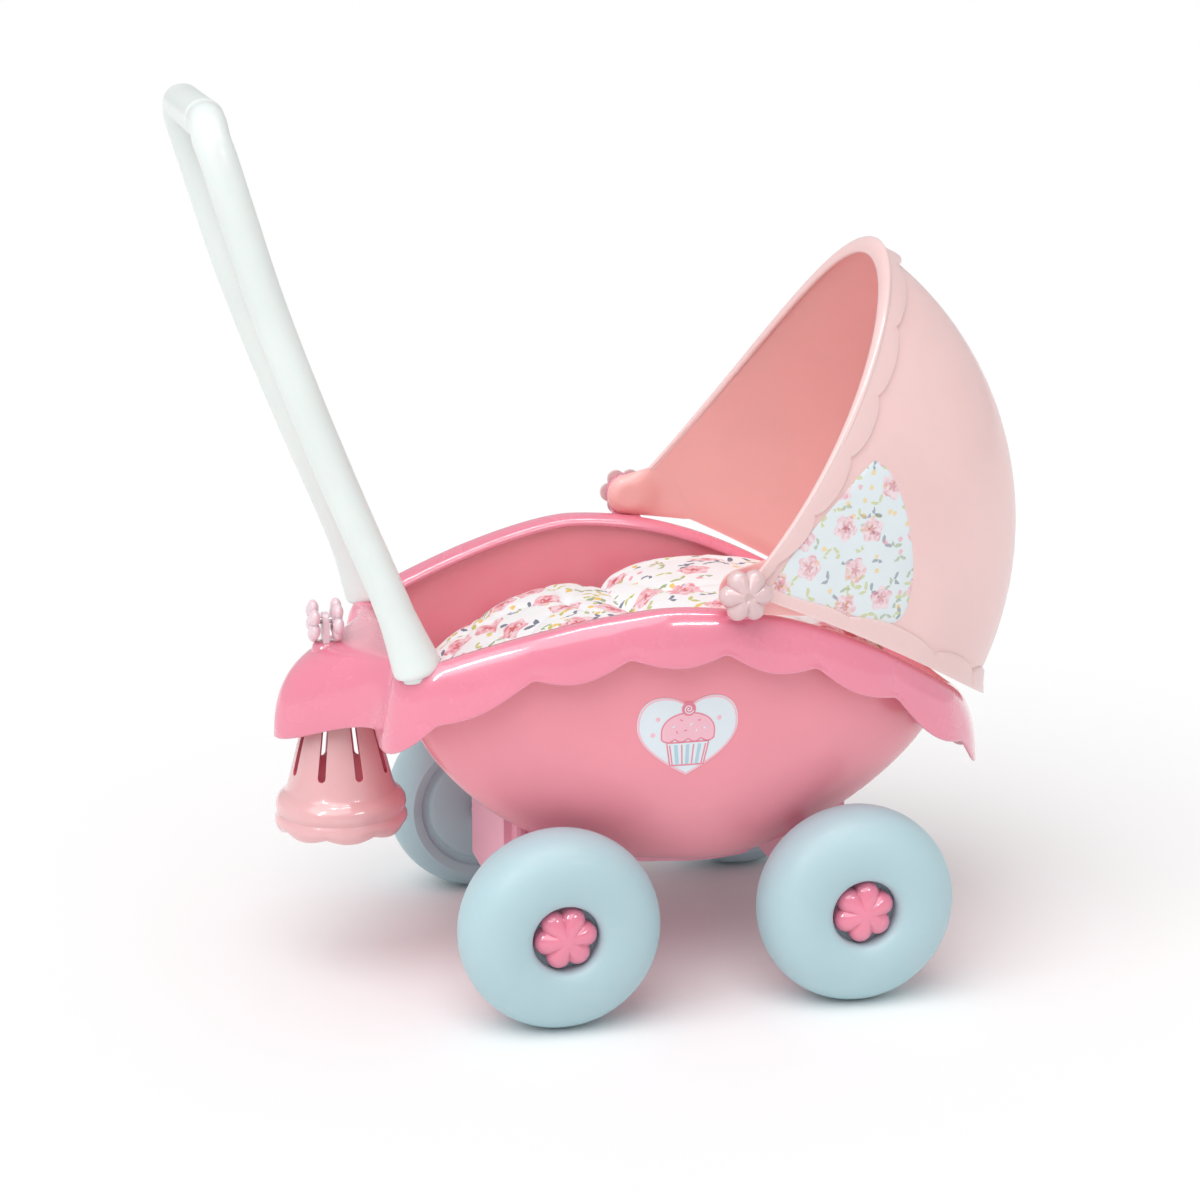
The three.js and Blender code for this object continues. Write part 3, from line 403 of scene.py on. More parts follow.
def leaf(n, x, y, place, pick):
    """Mask and colour of a pair of leaves."""
    reach = n.math("ABSOLUTE", x)
    long = n.math("POWER", n.math("DIVIDE", n.math("ABSOLUTE", n.less(reach, 0.0032)), 0.0032), 2.0)
    wide = n.math("POWER", n.math("DIVIDE", n.less(y, n.times(reach, 0.5)), 0.0017), 2.0)
    green = n.mix(n.step(pick, 0.45, 0.5), LEAF_YELLOW, LEAF_SAGE)
    mask = n.less(1.0, n.step(n.plus(long, wide), 0.75, 1.1))
    return mask, n.mix(n.step(pick, 0.7, 0.72), green, LEAF_SLATE)


def dot(n, x, y, place, pick):
    """Mask and colour of a small dot."""
    radius = n.math("SQRT", n.plus(n.times(x, x), n.times(y, y)))
    return n.less(1.0, n.step(radius, 0.0016, 0.0023)), n.mix(n.step(pick, 0.6, 0.62), DOT_YELLOW, ROSE_MID)


def floral(name, ground, woven, shift=(0.0, 0.0), scale=1.0, strength=1.0):
    """Rose and leaf print on white. A woven one has a thread weave, a film has none."""
    n = Nodes(name)
    uv = n.add("ShaderNodeUVMap", uv_map="print").outputs[0]
    base = n.mix(n.step(n.noise(40.0, 3.0), 0.3, 0.7), tinted(ground, 0.97), ground)
    for motif, pitch, density, cover, at_x, at_y in (
        (leaf, 84.0, 0.42, 0.9, 0.31, 0.12), (leaf, 104.0, 0.24, 0.9, 0.71, 0.43),
        (dot, 88.0, 0.26, 0.9, 0.17, 0.83), (rose, 31.0, 0.8, 0.92, 0.05, 0.21),
    ):
        move = (at_x + shift[0], at_y + shift[1], 0)
        x, y, place, chance = scattered_cells(n, uv, pitch * scale, move)
        mask, colour = motif(n, x, y, place, chance[2])
        mask = n.times(mask, n.math("LESS_THAN", chance[1], density))
        base = n.mix(n.times(mask, cover * strength), base, colour)
    n.link(base, n.shader.inputs["Base Color"])
    if woven:
        threads = []
        for direction in ("X", "Y"):
            wave = n.add("ShaderNodeTexWave", wave_type="BANDS", bands_direction=direction)
            wave.inputs["Scale"].default_value = 620.0
            wave.inputs["Distortion"].default_value = 0.6
            n.link(uv, wave.inputs["Vector"])
            threads.append(wave.outputs["Fac"])
        n.bump(n.plus(n.times(*threads), n.times(n.noise(70.0, 3.0), 2.2)), 0.35, 0.0006)
        n.set(Roughness=0.88, Sheen_Weight=0.25, Sheen_Roughness=0.5, Subsurface_Weight=0.12,
              Subsurface_Scale=0.004)
    else:
        n.bump(n.noise(700.0), 0.05, 0.0003)
        n.link(n.plus(n.times(n.noise(60.0), 0.12), 0.34), n.shader.inputs["Roughness"])
    return n.material


RIM = plastic("rim_plastic", linear(240, 138, 163), 0.26, coat=1.0, glow=0.14)
TUB = plastic("tub_plastic", linear(247, 151, 166), 0.32, coat=0.45, glow=0.12)
BRACKET = plastic("bracket_plastic", linear(250, 170, 192), 0.4, coat=0.1, glow=0.2)
AQUA = plastic("wheel_plastic", linear(180, 208, 215), 0.5, coat=0.05, glow=0.15, orange_peel=0.1)
HOOD_OUT = plastic("hood_plastic", linear(245, 208, 206), 0.36, coat=0.35, glow=0.2)
HOOD_IN = plastic("hood_lining_plastic", linear(252, 188, 184), 0.42, coat=0.1, glow=0.15)
BLUSH = plastic("knob_plastic", linear(226, 196, 197), 0.3, coat=0.6, glow=0.25)
HUB = plastic("hub_plastic", linear(240, 136, 162), 0.16, coat=1.0, glow=0.1)
BELL = plastic("bell_plastic", linear(234, 182, 184), 0.24, coat=0.8, glow=0.3)
BELL_IN = plastic("bell_inner_plastic", linear(206, 84, 104), 0.4)
HANDLE = plastic("handle_plastic", linear(236, 244, 241), 0.34, coat=0.2, glow=0.15)
PEARL = plastic("spinner_plastic", linear(243, 214, 222), 0.3, coat=0.4, glow=0.35)
STEEL = metal("bright_steel")
FILM = plastic("label_film", linear(226, 236, 242), 0.3, coat=0.2, orange_peel=0.03)
INK = plastic("label_outline_ink", linear(232, 128, 150), 0.35, orange_peel=0.03)
INK_PALE = plastic("label_pale_ink", linear(246, 190, 204), 0.35, orange_peel=0.03)
INK_BLUE = plastic("label_blue_ink", linear(176, 208, 222), 0.35, orange_peel=0.03)
PRINT_FILM = floral("printed_film", linear(228, 237, 241), woven=False, scale=1.05, strength=0.62)
PRINT_CLOTH = floral("printed_cotton", linear(252, 254, 255), woven=True, shift=(0.4, 0.2))
PRINT_PILLOW = floral("printed_cotton_pillow", linear(252, 254, 255), woven=True, shift=(0.9, 0.6))

# ---- The rim's lines ----


def crest_height(x):
    x = np.asarray(x, float)
    back = RIM_TOP_Z - 38.5 * (np.maximum(MIDSHIP_X - x, 0) / 140) ** 1.5
    return np.where(x < MIDSHIP_X, back, RIM_TOP_Z - 64.5 * ((x - MIDSHIP_X) / 170) ** 2)


def rear_half_width(x):
    back = (MIDSHIP_X - x) / (MIDSHIP_X - RIM_REAR_X)
    return RIM_HALF_WIDTH - (RIM_HALF_WIDTH - RIM_REAR_HALF_WIDTH) * back**1.35


def half_plan():
    """The left half of the crest's plan, from the transom's middle round to the front."""
    corner = 20.0
    points = [(RIM_REAR_X, y) for y in np.linspace(0, RIM_REAR_HALF_WIDTH - corner, 12)]
    a = np.array((RIM_REAR_X, RIM_REAR_HALF_WIDTH - corner))
    b = np.array((RIM_REAR_X, RIM_REAR_HALF_WIDTH))
    c = np.array((RIM_REAR_X + corner, rear_half_width(RIM_REAR_X + corner)))
    for t in np.linspace(0.05, 1, 16):
        points.append(tuple((1 - t) ** 2 * a + 2 * t * (1 - t) * b + t * t * c))
    for x in np.arange(RIM_REAR_X + corner + 2, MIDSHIP_X, 3.0):
        points.append((x, rear_half_width(x)))
    power = 2 / FRONT_PLAN_POWER
    for angle in np.linspace(math.pi / 2, 0, 120):
        x = MIDSHIP_X + (RIM_FRONT_X - MIDSHIP_X) * max(math.cos(angle), 0) ** power
        points.append((x, RIM_HALF_WIDTH * max(math.sin(angle), 0) ** power))
    return np.array(points)


def rim_stations(count):
    """Evenly spaced stations round the rim: place, outward normal, distance along and half length."""
    path = half_plan()
    steps = np.linalg.norm(np.diff(path, axis=0), axis=1)
    run = np.concatenate([[0], np.cumsum(steps)])
    length = run[-1]
    half = count // 2
    s = np.linspace(0, length, half + 1)
    x, y = np.interp(s, run, path[:, 0]), np.interp(s, run, path[:, 1])
    y[0], y[-1] = 0, 0
    xs = np.concatenate([x, x[1:-1][::-1]])
    ys = np.concatenate([y, -y[1:-1][::-1]])
    along = np.concatenate([s, s[1:-1][::-1]])
    before = np.stack([np.roll(xs, 1), np.roll(ys, 1)])
    after = np.stack([np.roll(xs, -1), np.roll(ys, -1)])
    d = after - before
    normal = np.stack([-d[1], d[0]])
    normal /= np.linalg.norm(normal, axis=0)
    return xs, ys, normal, along, length


def skirt_drop(along, length):
    """Depth of the scalloped lower edge under the crest."""
    tongue_cusp, corner_cusp, lobes = 55.0, 97.0, 7.5
    phase = 1.5 + lobes * (along - corner_cusp) / (length - corner_cusp)
    phase = np.where(along < corner_cusp, 0.5 + (along - tongue_cusp) / (corner_cusp - tongue_cusp), phase)
    phase = np.where(along < tongue_cusp, 0.5 * along / tongue_cusp, phase)
    rear = 17 * (1 - smooth(along, 60, 140))
    front = 16 * smooth(along, length - 150, length - 40)
    lobe = 8 + 8 * (1 - smooth(along, 15, 55))
    swing = np.sqrt(np.cos(np.pi * phase) ** 2 + 0.003)
    swing = np.where(along < tongue_cusp, swing**2.2, swing)
    return 22 + rear + front + lobe * swing, phase


def rim_flare(xs, ys):
    swell = np.cos(np.pi * ys / (2 * TONGUE_HALF_WIDTH)) ** 2
    tongue = np.where((np.abs(ys) < TONGUE_HALF_WIDTH) & (xs < 0), TONGUE_LENGTH * swell, 0)
    return SKIRT_FLARE + tongue + 9 * smooth(xs, 185, RIM_FRONT_X)


# ---- Rim ----


def rim_rings(count):
    xs, ys, normal, along, length = rim_stations(count)
    crest = crest_height(xs)
    drop, phase = skirt_drop(along, length)
    flare = rim_flare(xs, ys)
    lobe = np.abs(np.cos(np.pi * phase))
    valley = np.exp(-((along - 60) / 9) ** 2)
    rings = []

    def ring(out, z):
        rings.append(np.stack([xs + normal[0] * out, ys + normal[1] * out, z], axis=1))

    lip = [(-6.6, -6.8), (-8.2, -6.6), (-9.0, -5.6), (-8.9, -4.2), (-8.0, -2.4), (-6.2, -1.1), (-3.6, -0.35)]
    for out, up in lip:
        ring(np.full_like(xs, out), crest + up)
    full = drop + 3
    square = 2.3 + 0.3 * (1 - smooth(along, 70, 110))
    limit = np.arccos((3 / full) ** (square / 2))
    for turn in np.linspace(0, 1, 30)[:-1] ** 1.5:
        angle = limit * turn
        z = crest - full * (1 - np.cos(angle) ** (2 / square))
        hollow = valley * 5.5 * math.sin(math.pi * turn) ** 1.2
        bulge = (lobe - 0.6) * 1.3 * smooth(turn, 0.35, 0.9)
        ring(flare * np.sin(angle) ** (2 / square) - hollow + np.minimum(bulge, 0), z - 0.6 * hollow)
    edge = flare * np.sin(limit) ** (2 / square)
    for out, up in ((0.0, 1.1), (-0.25, 0.35), (-0.9, 0.0), (-1.6, 0.25), (-2.1, 1.0)):
        ring(edge + out, crest - drop + up)
    for turn in np.linspace(1, 0.45, 9)[1:]:
        angle = limit * turn
        z = crest - WALL - (full - WALL) * (1 - np.cos(angle) ** (2 / square))
        hollow = valley * 5.5 * math.sin(math.pi * turn) ** 1.2
        ring((flare - WALL) * np.sin(angle) ** (2 / square) - hollow, z - 0.6 * hollow)
    ring(np.full_like(xs, -1.0), crest - 3.2)
    ring(np.full_like(xs, -5.0), crest - 4.2)
    return np.array(rings)


def make_rim():
    count = 360
    rings = rim_rings(count)
    faces = grid_faces(len(rings), count, close_rows=True, close_columns=True)
    make("rim_with_scalloped_skirt", rings.reshape(-1, 3), faces, RIM, "pram_body", 60,
         ["rim_skirt"])


def make_ears():
    """The two lugs that carry the hood's pins, each curving in to the rim's crest at its foot."""
    half_width, half_thickness, section = 11.5, 1.8, 28
    spine = [(127.8, 11.5), (127.8, 8), (127.8, 0), (127.7, -6), (126.9, -10), (124.8, -12.8), (121.5, -14.2),
             (117.0, -14.8)]
    line = catmull(spine, 6)
    heading = np.gradient(line, axis=0)
    heading /= np.linalg.norm(heading, axis=1)[:, None]

    def squared(turn):
        """A point of a section with nearly square corners."""
        return [math.copysign(abs(v) ** 0.4, v) for v in (math.cos(turn), math.sin(turn))]

    for hand, side in SIDES:
        points = []
        for (y, up), (dy, dz) in zip(line, heading):
            half = half_width - 3.2 * float(smooth(-up, 0, 13))
            if up > 0:
                half = math.sqrt(max(half_width**2 - up**2, 1.2))
            for k in range(section):
                across, thick = squared(2 * math.pi * k / section)
                thick *= half_thickness
                points.append((PIVOT_X + half * across, side * (y + thick * dz), PIVOT_Z + up - thick * dy))
        make(f"hood_ear_{hand}", points, tube_faces(len(line), section), RIM, "pram_body", 40)


# ---- Tub ----


def fullness(depth, exponent):
    return np.clip(1 - depth**exponent, 0, 1) ** (1 / exponent)


def tub_ring(stations, depth, outset):
    """A level ring of the tub's wall, from depth 0 at its edge to 1 at its bottom."""
    xs, ys, normal, _, _ = stations
    edge_x, edge_y = xs + normal[0] * (outset - 1), ys + normal[1] * (outset - 1)
    along = edge_x - TUB_CENTRE_X
    top = crest_height(xs) - TUB_EDGE_DROP
    scale = np.where(along > 0, fullness(depth, TUB_FRONT), fullness(depth, TUB_REAR))
    bottom = TUB_BOTTOM_Z - outset
    y, z = edge_y * fullness(depth, TUB_SIDE), top - depth * (top - bottom)
    return np.stack([TUB_CENTRE_X + along * scale, y, z], axis=1)


def make_tub():
    stations = rim_stations(160)
    depths = np.sin(np.linspace(0, math.pi / 2 * 0.995, 36)) ** 1.1
    inner = [tub_ring(stations, depth, -WALL) for depth in depths[::-1]]
    outer = [tub_ring(stations, depth, 0) for depth in depths]
    points, faces = capped_rings(inner + outer)
    return make("tub_hull", points, faces, TUB, "pram_body", 60, ["tub_shell"])


# ---- Wheels ----


def wheel_profile():
    """Section of the fat wheel, radius and width, its outer side at positive width."""
    centre_r, radius, half = 31.0, 55.0, 24.5
    points = [(37.6, -20.4), (40.0, -21.4)]
    for degrees in range(-62, 91, 6):
        turn = math.radians(degrees)
        flat = 0.5 * math.copysign(abs(math.sin(turn)) ** 0.9, math.sin(turn)) + 0.5 * math.sin(turn)
        points.append((centre_r + (radius - centre_r) * math.cos(turn) ** 0.94, half * flat))
    points += [(27.5, 24.3), (24.0, 23.7), (21.4, 22.7), (19.7, 21.3), (18.7, 19.4), (18.3, 17.0),
               (18.2, 11.0), (17.4, 10.4), (6.0, 10.2), (3.4, 10.2), (3.4, -19.0), (6.8, -19.0)]
    points += [(7.2, -20.2), (8.0, -20.5), (30.5, -20.5), (32.0, -19.9), (33.0, -18.4), (35.6, -18.0),
               (36.8, -18.6)]
    return points


def make_wheels():
    points, faces = lathe(wheel_profile(), 112)
    for end, hand, side, axle in WHEELS:
        place = (axle.x - REAR_AXLE.x) * 1000
        placed = [(place + x, side * (HALF_TRACK + y), axle.z * 1000 + z) for x, y, z in points]
        make(f"wheel_{end}_{hand}_tyre", placed, faces, AQUA, f"wheel_{end}_{hand}_body", 38,
             [f"wheel_{end}_{hand}", f"wheel_cover_{end}_{hand}"])


def flower_points(tip, height, petals=6, groove=0.42, dimple=0.0, button=0.0, depth=3.0, plump=0.365):
    """A domed flower about +Y: rounded petals with valleys between them and a middle dimple or button."""
    around, rings = 24 * petals, 22
    petal = tip * plump
    reach = tip - petal
    angles = np.linspace(0, 2 * math.pi, around, endpoint=False)
    local = np.mod(angles + math.pi / petals, 2 * math.pi / petals) - math.pi / petals
    across = reach * np.sin(local)
    outline = reach * np.cos(local) + np.sqrt(np.maximum(petal**2 - across**2, 0))
    valley = np.abs(local) / (math.pi / petals)

    def surface(share):
        r = outline * share
        dome = math.sqrt(max(0.0, 1 - share**2.8))
        ridge = 1 - groove * valley**2.2 * smooth(share, 0.25, 0.75)
        middle = 1 - dimple * (1 - float(smooth(share, 0.06, 0.22)))
        bump = button * (1 - float(smooth(share, 0.16, 0.30))) * math.sqrt(max(0.0, 1 - (share / 0.3) ** 2))
        return r, height * dome * ridge * middle + bump

    rows = []
    for share in np.sin(np.linspace(0.06, 1, rings) * math.pi / 2):
        r, y = surface(float(share))
        rows.append(np.stack([r * np.cos(angles), np.broadcast_to(y, r.shape), r * np.sin(angles)], axis=1))
    for drop in (0.35, 0.75, 1.0):
        low = rows[-1].copy()
        low[:, 1] = -depth * drop
        rows.append(low)
    return capped_rings(rows)


def make_hub_flowers():
    points, faces = flower_points(17.2, 7.0, groove=0.26, button=0.5, depth=6.0, plump=0.4)
    recess_floor, lean = HALF_TRACK + 15.6, {"rear": math.radians(8), "front": math.radians(21)}
    for end, hand, side, axle in WHEELS:
        place = (axle.x - REAR_AXLE.x) * 1000
        c, s = math.cos(lean[end]), math.sin(lean[end])
        placed = [(place + x * c - z * s, side * (recess_floor + y), axle.z * 1000 + x * s + z * c)
                  for x, y, z in points]
        make(f"hub_petals_{end}_{hand}", placed, faces, HUB, f"wheel_{end}_{hand}_body", 70,
             [f"hub_flower_{end}_{hand}"])


# ---- Handle ----


def sweep(path, radii, segments):
    """A closed tube of round sections along a line of points."""
    tangents = np.gradient(path, axis=0)
    tangents /= np.linalg.norm(tangents, axis=1)[:, None]
    normal = np.cross(tangents[0], (0, 1, 0))
    angles = np.linspace(0, 2 * math.pi, segments, endpoint=False)
    rows = []
    for point, tangent, radius in zip(path, tangents, radii):
        normal = normal - tangent * np.dot(normal, tangent)
        normal /= np.linalg.norm(normal)
        side = np.cross(tangent, normal)
        rows.append(point + radius * (np.cos(angles)[:, None] * normal + np.sin(angles)[:, None] * side))
    return np.concatenate(rows), tube_faces(len(rows), segments)


def make_handle():
    """One bent tube from foot to foot, its feet flared and its grip a little fatter than the arms."""
    side_view = [(-68, 190), (-70.5, 199), (-86, 241), (-105, 288), (-125, 340), (-143, 391), (-157, 438),
                 (-164, 462)]
    grip_x, grip_z = (GRIP.x - REAR_AXLE.x) * 1000, GRIP.z * 1000
    y = HANDLE_HALF_WIDTH
    arm = [(x, y, z) for x, z in side_view]
    bend = [(grip_x + 0.8, y - 3.4, grip_z - 8.5), (grip_x, y - 11, grip_z - 1.4), (grip_x, y - 24, grip_z)]
    half = arm + bend + [(grip_x, 40, grip_z), (grip_x, 0, grip_z)]
    path = catmull(half + [(px, -py, pz) for px, py, pz in half[:-1][::-1]], 14)
    run = np.concatenate([[0], np.cumsum(np.linalg.norm(np.diff(path, axis=0), axis=1))])
    from_end = np.minimum(run, run[-1] - run)
    radii = np.interp(from_end, [0, 2.2, 3.0, 4.2, 5.7, 9, 15, 24, 36, 52],
                      [9.0, 9.0, 11.4, 12.6, 13.0, 12.9, 12.2, 11.1, 10.0, HANDLE_RADIUS])
    grip_half_length, grip_extra = 57, 0.8
    radii += grip_extra * smooth(grip_half_length - np.abs(path[:, 1]), 0, 3)
    points, faces = sweep(path, radii, 40)
    make("handle_tube", points, faces, HANDLE, "pram_body", 40,
         ["handle_arm_left", "handle_arm_right", "handle_grip"])


# ---- Hood ----


def hood_point(across, degrees, outset=0.0):
    """A point of the hood's form: across runs from 0 at the right pivot to 1 at the left."""
    angle = math.pi * across
    radius = (HOOD_RADIUS + outset) * max(math.sin(angle), 0) ** HOOD_TAPER
    turn = math.radians(degrees)
    y = -(HOOD_HALF_WIDTH + outset) * math.cos(angle)
    return (PIVOT_X + radius * math.cos(turn), y, PIVOT_Z + radius * math.sin(turn))


def open_angle(across):
    return 45.6 + 10.9 * math.sin(math.pi * across)


def low_angle(across):
    return -21 - 7.5 * math.sin(math.pi * across)


def hood_radius(across):
    return HOOD_RADIUS * max(math.sin(math.pi * across), 0.02) ** HOOD_TAPER


def make_hood():
    """The hood's shell, its skins joined along all four edges."""
    columns, rows, start = 120, 54, 0.022
    outer, inner = [], []
    for across in np.linspace(start, 1 - start, columns + 1):
        high, low = open_angle(across), low_angle(across)
        reach = math.sin(math.pi * across)
        for angle in np.linspace(high, low, rows + 1):
            to_low = math.radians(angle - low) * hood_radius(across)
            flange = HOOD_FLANGE * reach**2 * (1 - float(smooth(to_low, 0, 9)))
            outer.append(hood_point(across, angle, flange))
            inner.append(hood_point(across, angle, flange - WALL))
    size, count = rows + 1, len(outer)
    outside = grid_faces(columns + 1, size)
    inside = [tuple(count + v for v in f) for f in outside]
    border = [(start_row + j, start_row + j + 1) for start_row in (0, columns * size) for j in range(rows)]
    border += [(i * size + j, (i + 1) * size + j) for i in range(columns) for j in (0, rows)]
    edges = [(a, b, count + b, count + a) for a, b in border]
    index = [0] * len(outside) + [1] * len(inside) + [0] * len(edges)
    make("hood_form", outer + inner, outside + inside + edges, [HOOD_OUT, HOOD_IN], "hood", 50,
         ["hood_shell"], index)


FRONT_CUSPS = [0.0, 0.055, 0.113, 0.176, 0.241, 0.322, 0.437]
FRONT_CUSPS += [1 - c for c in FRONT_CUSPS[::-1]]
LOW_CUSPS = [0.0, 0.13, 0.253, 0.345, 0.43]
LOW_CUSPS += [1 - c for c in LOW_CUSPS[::-1]]


def scallop(across, cusps):
    """0 at each cusp and 1 at the middle of each lobe."""
    k = max(i for i, c in enumerate(cusps) if c <= across + 1e-9)
    k = min(k, len(cusps) - 2)
    share = (across - cusps[k]) / (cusps[k + 1] - cusps[k])
    return math.sqrt(max(0.0, math.sin(math.pi * min(max(share, 0), 1)))), k


def band(name, first, last, edge_angle, width_at, direction, profile, columns=420):
    """A raised band along one edge of the hood, its far edge scalloped. profile gives (share of width, rise
    in millimetres) from the hood's edge inwards."""
    points = []
    for across in np.linspace(first, last, columns + 1):
        radius, width = hood_radius(across), width_at(across)
        for share, rise in profile(across):
            angle = edge_angle(across) + direction * math.degrees(width * share / radius)
            points.append(hood_point(across, angle, rise))
    faces = tube_faces(columns + 1, len(profile(first)))
    make(name, points, faces, HOOD_OUT, "hood", 38)


def make_hood_bands():
    def front_width(across):
        lobe, k = scallop(across, FRONT_CUSPS)
        reach = math.sin(math.pi * across)
        base = 5.0 + 4.5 * float(smooth(reach, 0.15, 0.7))
        depth = 8.5 if k == (len(FRONT_CUSPS) - 2) // 2 else 5.5
        return base + lobe * depth * float(smooth(reach, 0.05, 0.35))

    def front_profile(across):
        proud = 1.7 + 0.9 * math.sin(math.pi * across)
        lift = 2.0 * max(0.0, 1 - abs(across - 0.5) / 0.07)
        return [(0.0, proud), (0.3, proud), (0.6, proud * 0.98 + lift * 0.3),
                (0.85, proud * 0.95 + lift * 0.8), (0.95, proud * 0.86 + lift),
                (0.995, proud * 0.55 + lift), (1.0, -0.3 + lift * 0.5),
                (0.9, -0.6), (0.4, -0.6), (0.0, -0.6)]

    def low_width(across):
        lobe, _ = scallop(across, LOW_CUSPS)
        return 6.6 + 6.6 * lobe * float(smooth(math.sin(math.pi * across), 0.18, 0.55))

    def low_profile(across):
        flange = HOOD_FLANGE * math.sin(math.pi * across) ** 2
        proud = 2.1
        return [(0.0, proud + flange * 0.93), (0.2, proud + flange * 0.7), (0.45, proud + flange * 0.4),
                (0.75, proud + flange * 0.15), (0.93, proud * 0.9 + flange * 0.04), (0.99, proud * 0.5),
                (1.0, -0.3), (0.85, -0.6), (0.5, -0.5 + flange * 0.2), (0.0, -0.9 + flange * 0.8)]

    band("hood_front_band", 0.03, 0.97, open_angle, front_width, -1, front_profile)
    band("hood_lower_band", 0.035, 0.965, low_angle, low_width, 1, low_profile)


def make_hood_lip():
    """The rolled lip round the opening: thick at the top and thin at the sides."""
    columns, section, thinnest, set_back = 200, 20, 1.9, 1.2
    points = []
    for across in np.linspace(0.022, 0.978, columns + 1):
        reach = math.sin(math.pi * across)
        half_radial = thinnest + 3.4 * reach**2.2
        half_turn = 2.0 + 0.5 * reach
        middle = 1.6 * reach - WALL / 2 + 0.4 - (half_radial - thinnest) * 0.55
        for k in range(section):
            turn = 2 * math.pi * k / section
            behind = (set_back - half_turn * math.cos(turn)) / hood_radius(across)
            angle = open_angle(across) - math.degrees(behind)
            points.append(hood_point(across, angle, middle + half_radial * math.sin(turn)))
    make("hood_lip", points, tube_faces(columns + 1, section), HOOD_OUT, "hood", 60)


def make_hood_hinges():
    """Rounded ends of the hood's side walls, swelling over the pins' heads."""
    corner, low_reach, high_reach = 11.9, 45.0, 22.0
    low, high = low_angle(0.05), open_angle(0.05)
    count, rings, swell_end, sunk, head_cover = 96, 14, 24, 0.35, 0.9
    turns = [(low + high) / 2 - 180 + 360 * i / count for i in range(count)]

    def limit(degrees):
        """Distance of the outline from the pivot: a round corner with tangents to the wall's two edges."""
        share = float(np.clip((degrees - low) / (high - low), 0, 1))
        reach = low_reach + (high_reach - low_reach) * share
        outside = math.radians(max(degrees - high, low - degrees, 0))
        return corner / math.cos(max(math.acos(corner / reach) - outside, 0))

    for hand, side in SIDES:
        pin_low, pin_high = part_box(f"hood_pin_{hand}")
        head_radius = (pin_high[0] - pin_low[0]) * 500
        head_y = min(abs(pin_low[1]), abs(pin_high[1])) * 1000
        swell = HOOD_HALF_WIDTH - WALL - head_y + head_cover

        def point(degrees, share, inner):
            """A point of the inner or outer skin, at a share of the way to the outline."""
            radius = limit(degrees) * share
            y = HOOD_HALF_WIDTH * math.sqrt(1 - (radius / HOOD_RADIUS) ** (2 / HOOD_TAPER)) - sunk
            if inner:
                dome = (1 - float(smooth(radius, head_radius + 1, swell_end))) * (1 - share**4)
                y += 2 * sunk * share**6 - WALL - swell * dome
            turn = math.radians(degrees)
            return PIVOT_X + radius * math.cos(turn), side * y, PIVOT_Z + radius * math.sin(turn)

        shares = [k / rings for k in range(1, rings + 1)]
        rows = [[point(degrees, share, True) for degrees in turns] for share in shares]
        rows += [[point(degrees, share, False) for degrees in turns] for share in shares[::-1]]
        points, faces = capped_rings(rows)
        make(f"hood_hinge_{hand}", points, faces, HOOD_IN, "hood", 45)


def set_print_uv(piece, coordinate):
    """Writes the print's flat coordinates, in metres, from a function of a vertex's place."""
    layer = piece.data.uv_layers.new(name="print")
    values = [coordinate(v.co) for v in piece.data.vertices]
    for loop in piece.data.loops:
        layer.data[loop.index].uv = values[loop.vertex_index]


def make_hood_prints():
    """The printed side panels, laid on the hood's surface."""
    outline = catmull([(111, 236), (126, 256), (148, 277), (168, 294), (178, 298), (189, 284), (197, 258),
                       (199, 232), (193, 212), (178, 210), (158, 219), (133, 228), (111, 236)], 12)[:-1]
    print_scale = 1.45
    for hand, side in SIDES:
        def place(x, z, rise):
            """The hood's surface at a place in its side view."""
            radius = math.hypot(x - PIVOT_X, z - PIVOT_Z)
            across = math.asin(min(1.0, (radius / HOOD_RADIUS) ** (1 / HOOD_TAPER))) / math.pi
            point = hood_point(across, math.degrees(math.atan2(z - PIVOT_Z, x - PIVOT_X)), rise)
            return point[0], -side * point[1], point[2]

        points, faces = thin_sheet(outline, (163.0, 247.0), 26, place, (0.55, -0.1), edge_drop=0.35)
        panel = make(f"hood_print_{hand}", points, faces, PRINT_FILM, "hood", 50,
                     [f"hood_panel_{hand}"])
        set_print_uv(panel, lambda co: (co.x * print_scale, co.z * print_scale))


def make_knobs():
    points, faces = flower_points(14.5, 6.6, groove=0.24, dimple=0.2, depth=1.6, plump=0.385)
    base_y = 131.4
    for hand, side in SIDES:
        placed = [(PIVOT_X + x, side * (base_y + y), PIVOT_Z + z) for x, y, z in points]
        make(f"hood_knob_petals_{hand}", placed, faces, BLUSH, "hood", 70, [f"hood_knob_{hand}"])


# ---- Bell and deck flower ----


def slot_cutter(k, x0, bottom):
    """A tall round-ended block across the bell's wall, wider at its foot."""
    turn = math.radians(FIRST_SLOT_ANGLE + 360 / SLOT_COUNT * k)
    outline = arc(1.9, 0, 180, 20, bottom + 62.0) + arc(2.3, 180, 360, 20, bottom + 35.5)
    c, s = math.cos(turn), math.sin(turn)
    points = [(x0 + out * c - across * s, out * s + across * c, z)
              for out in (8.0, 60.0) for across, z in outline]
    return make(f"slot_cutter_{k}", points, tube_faces(2, len(outline)), BELL_IN, None, 40)


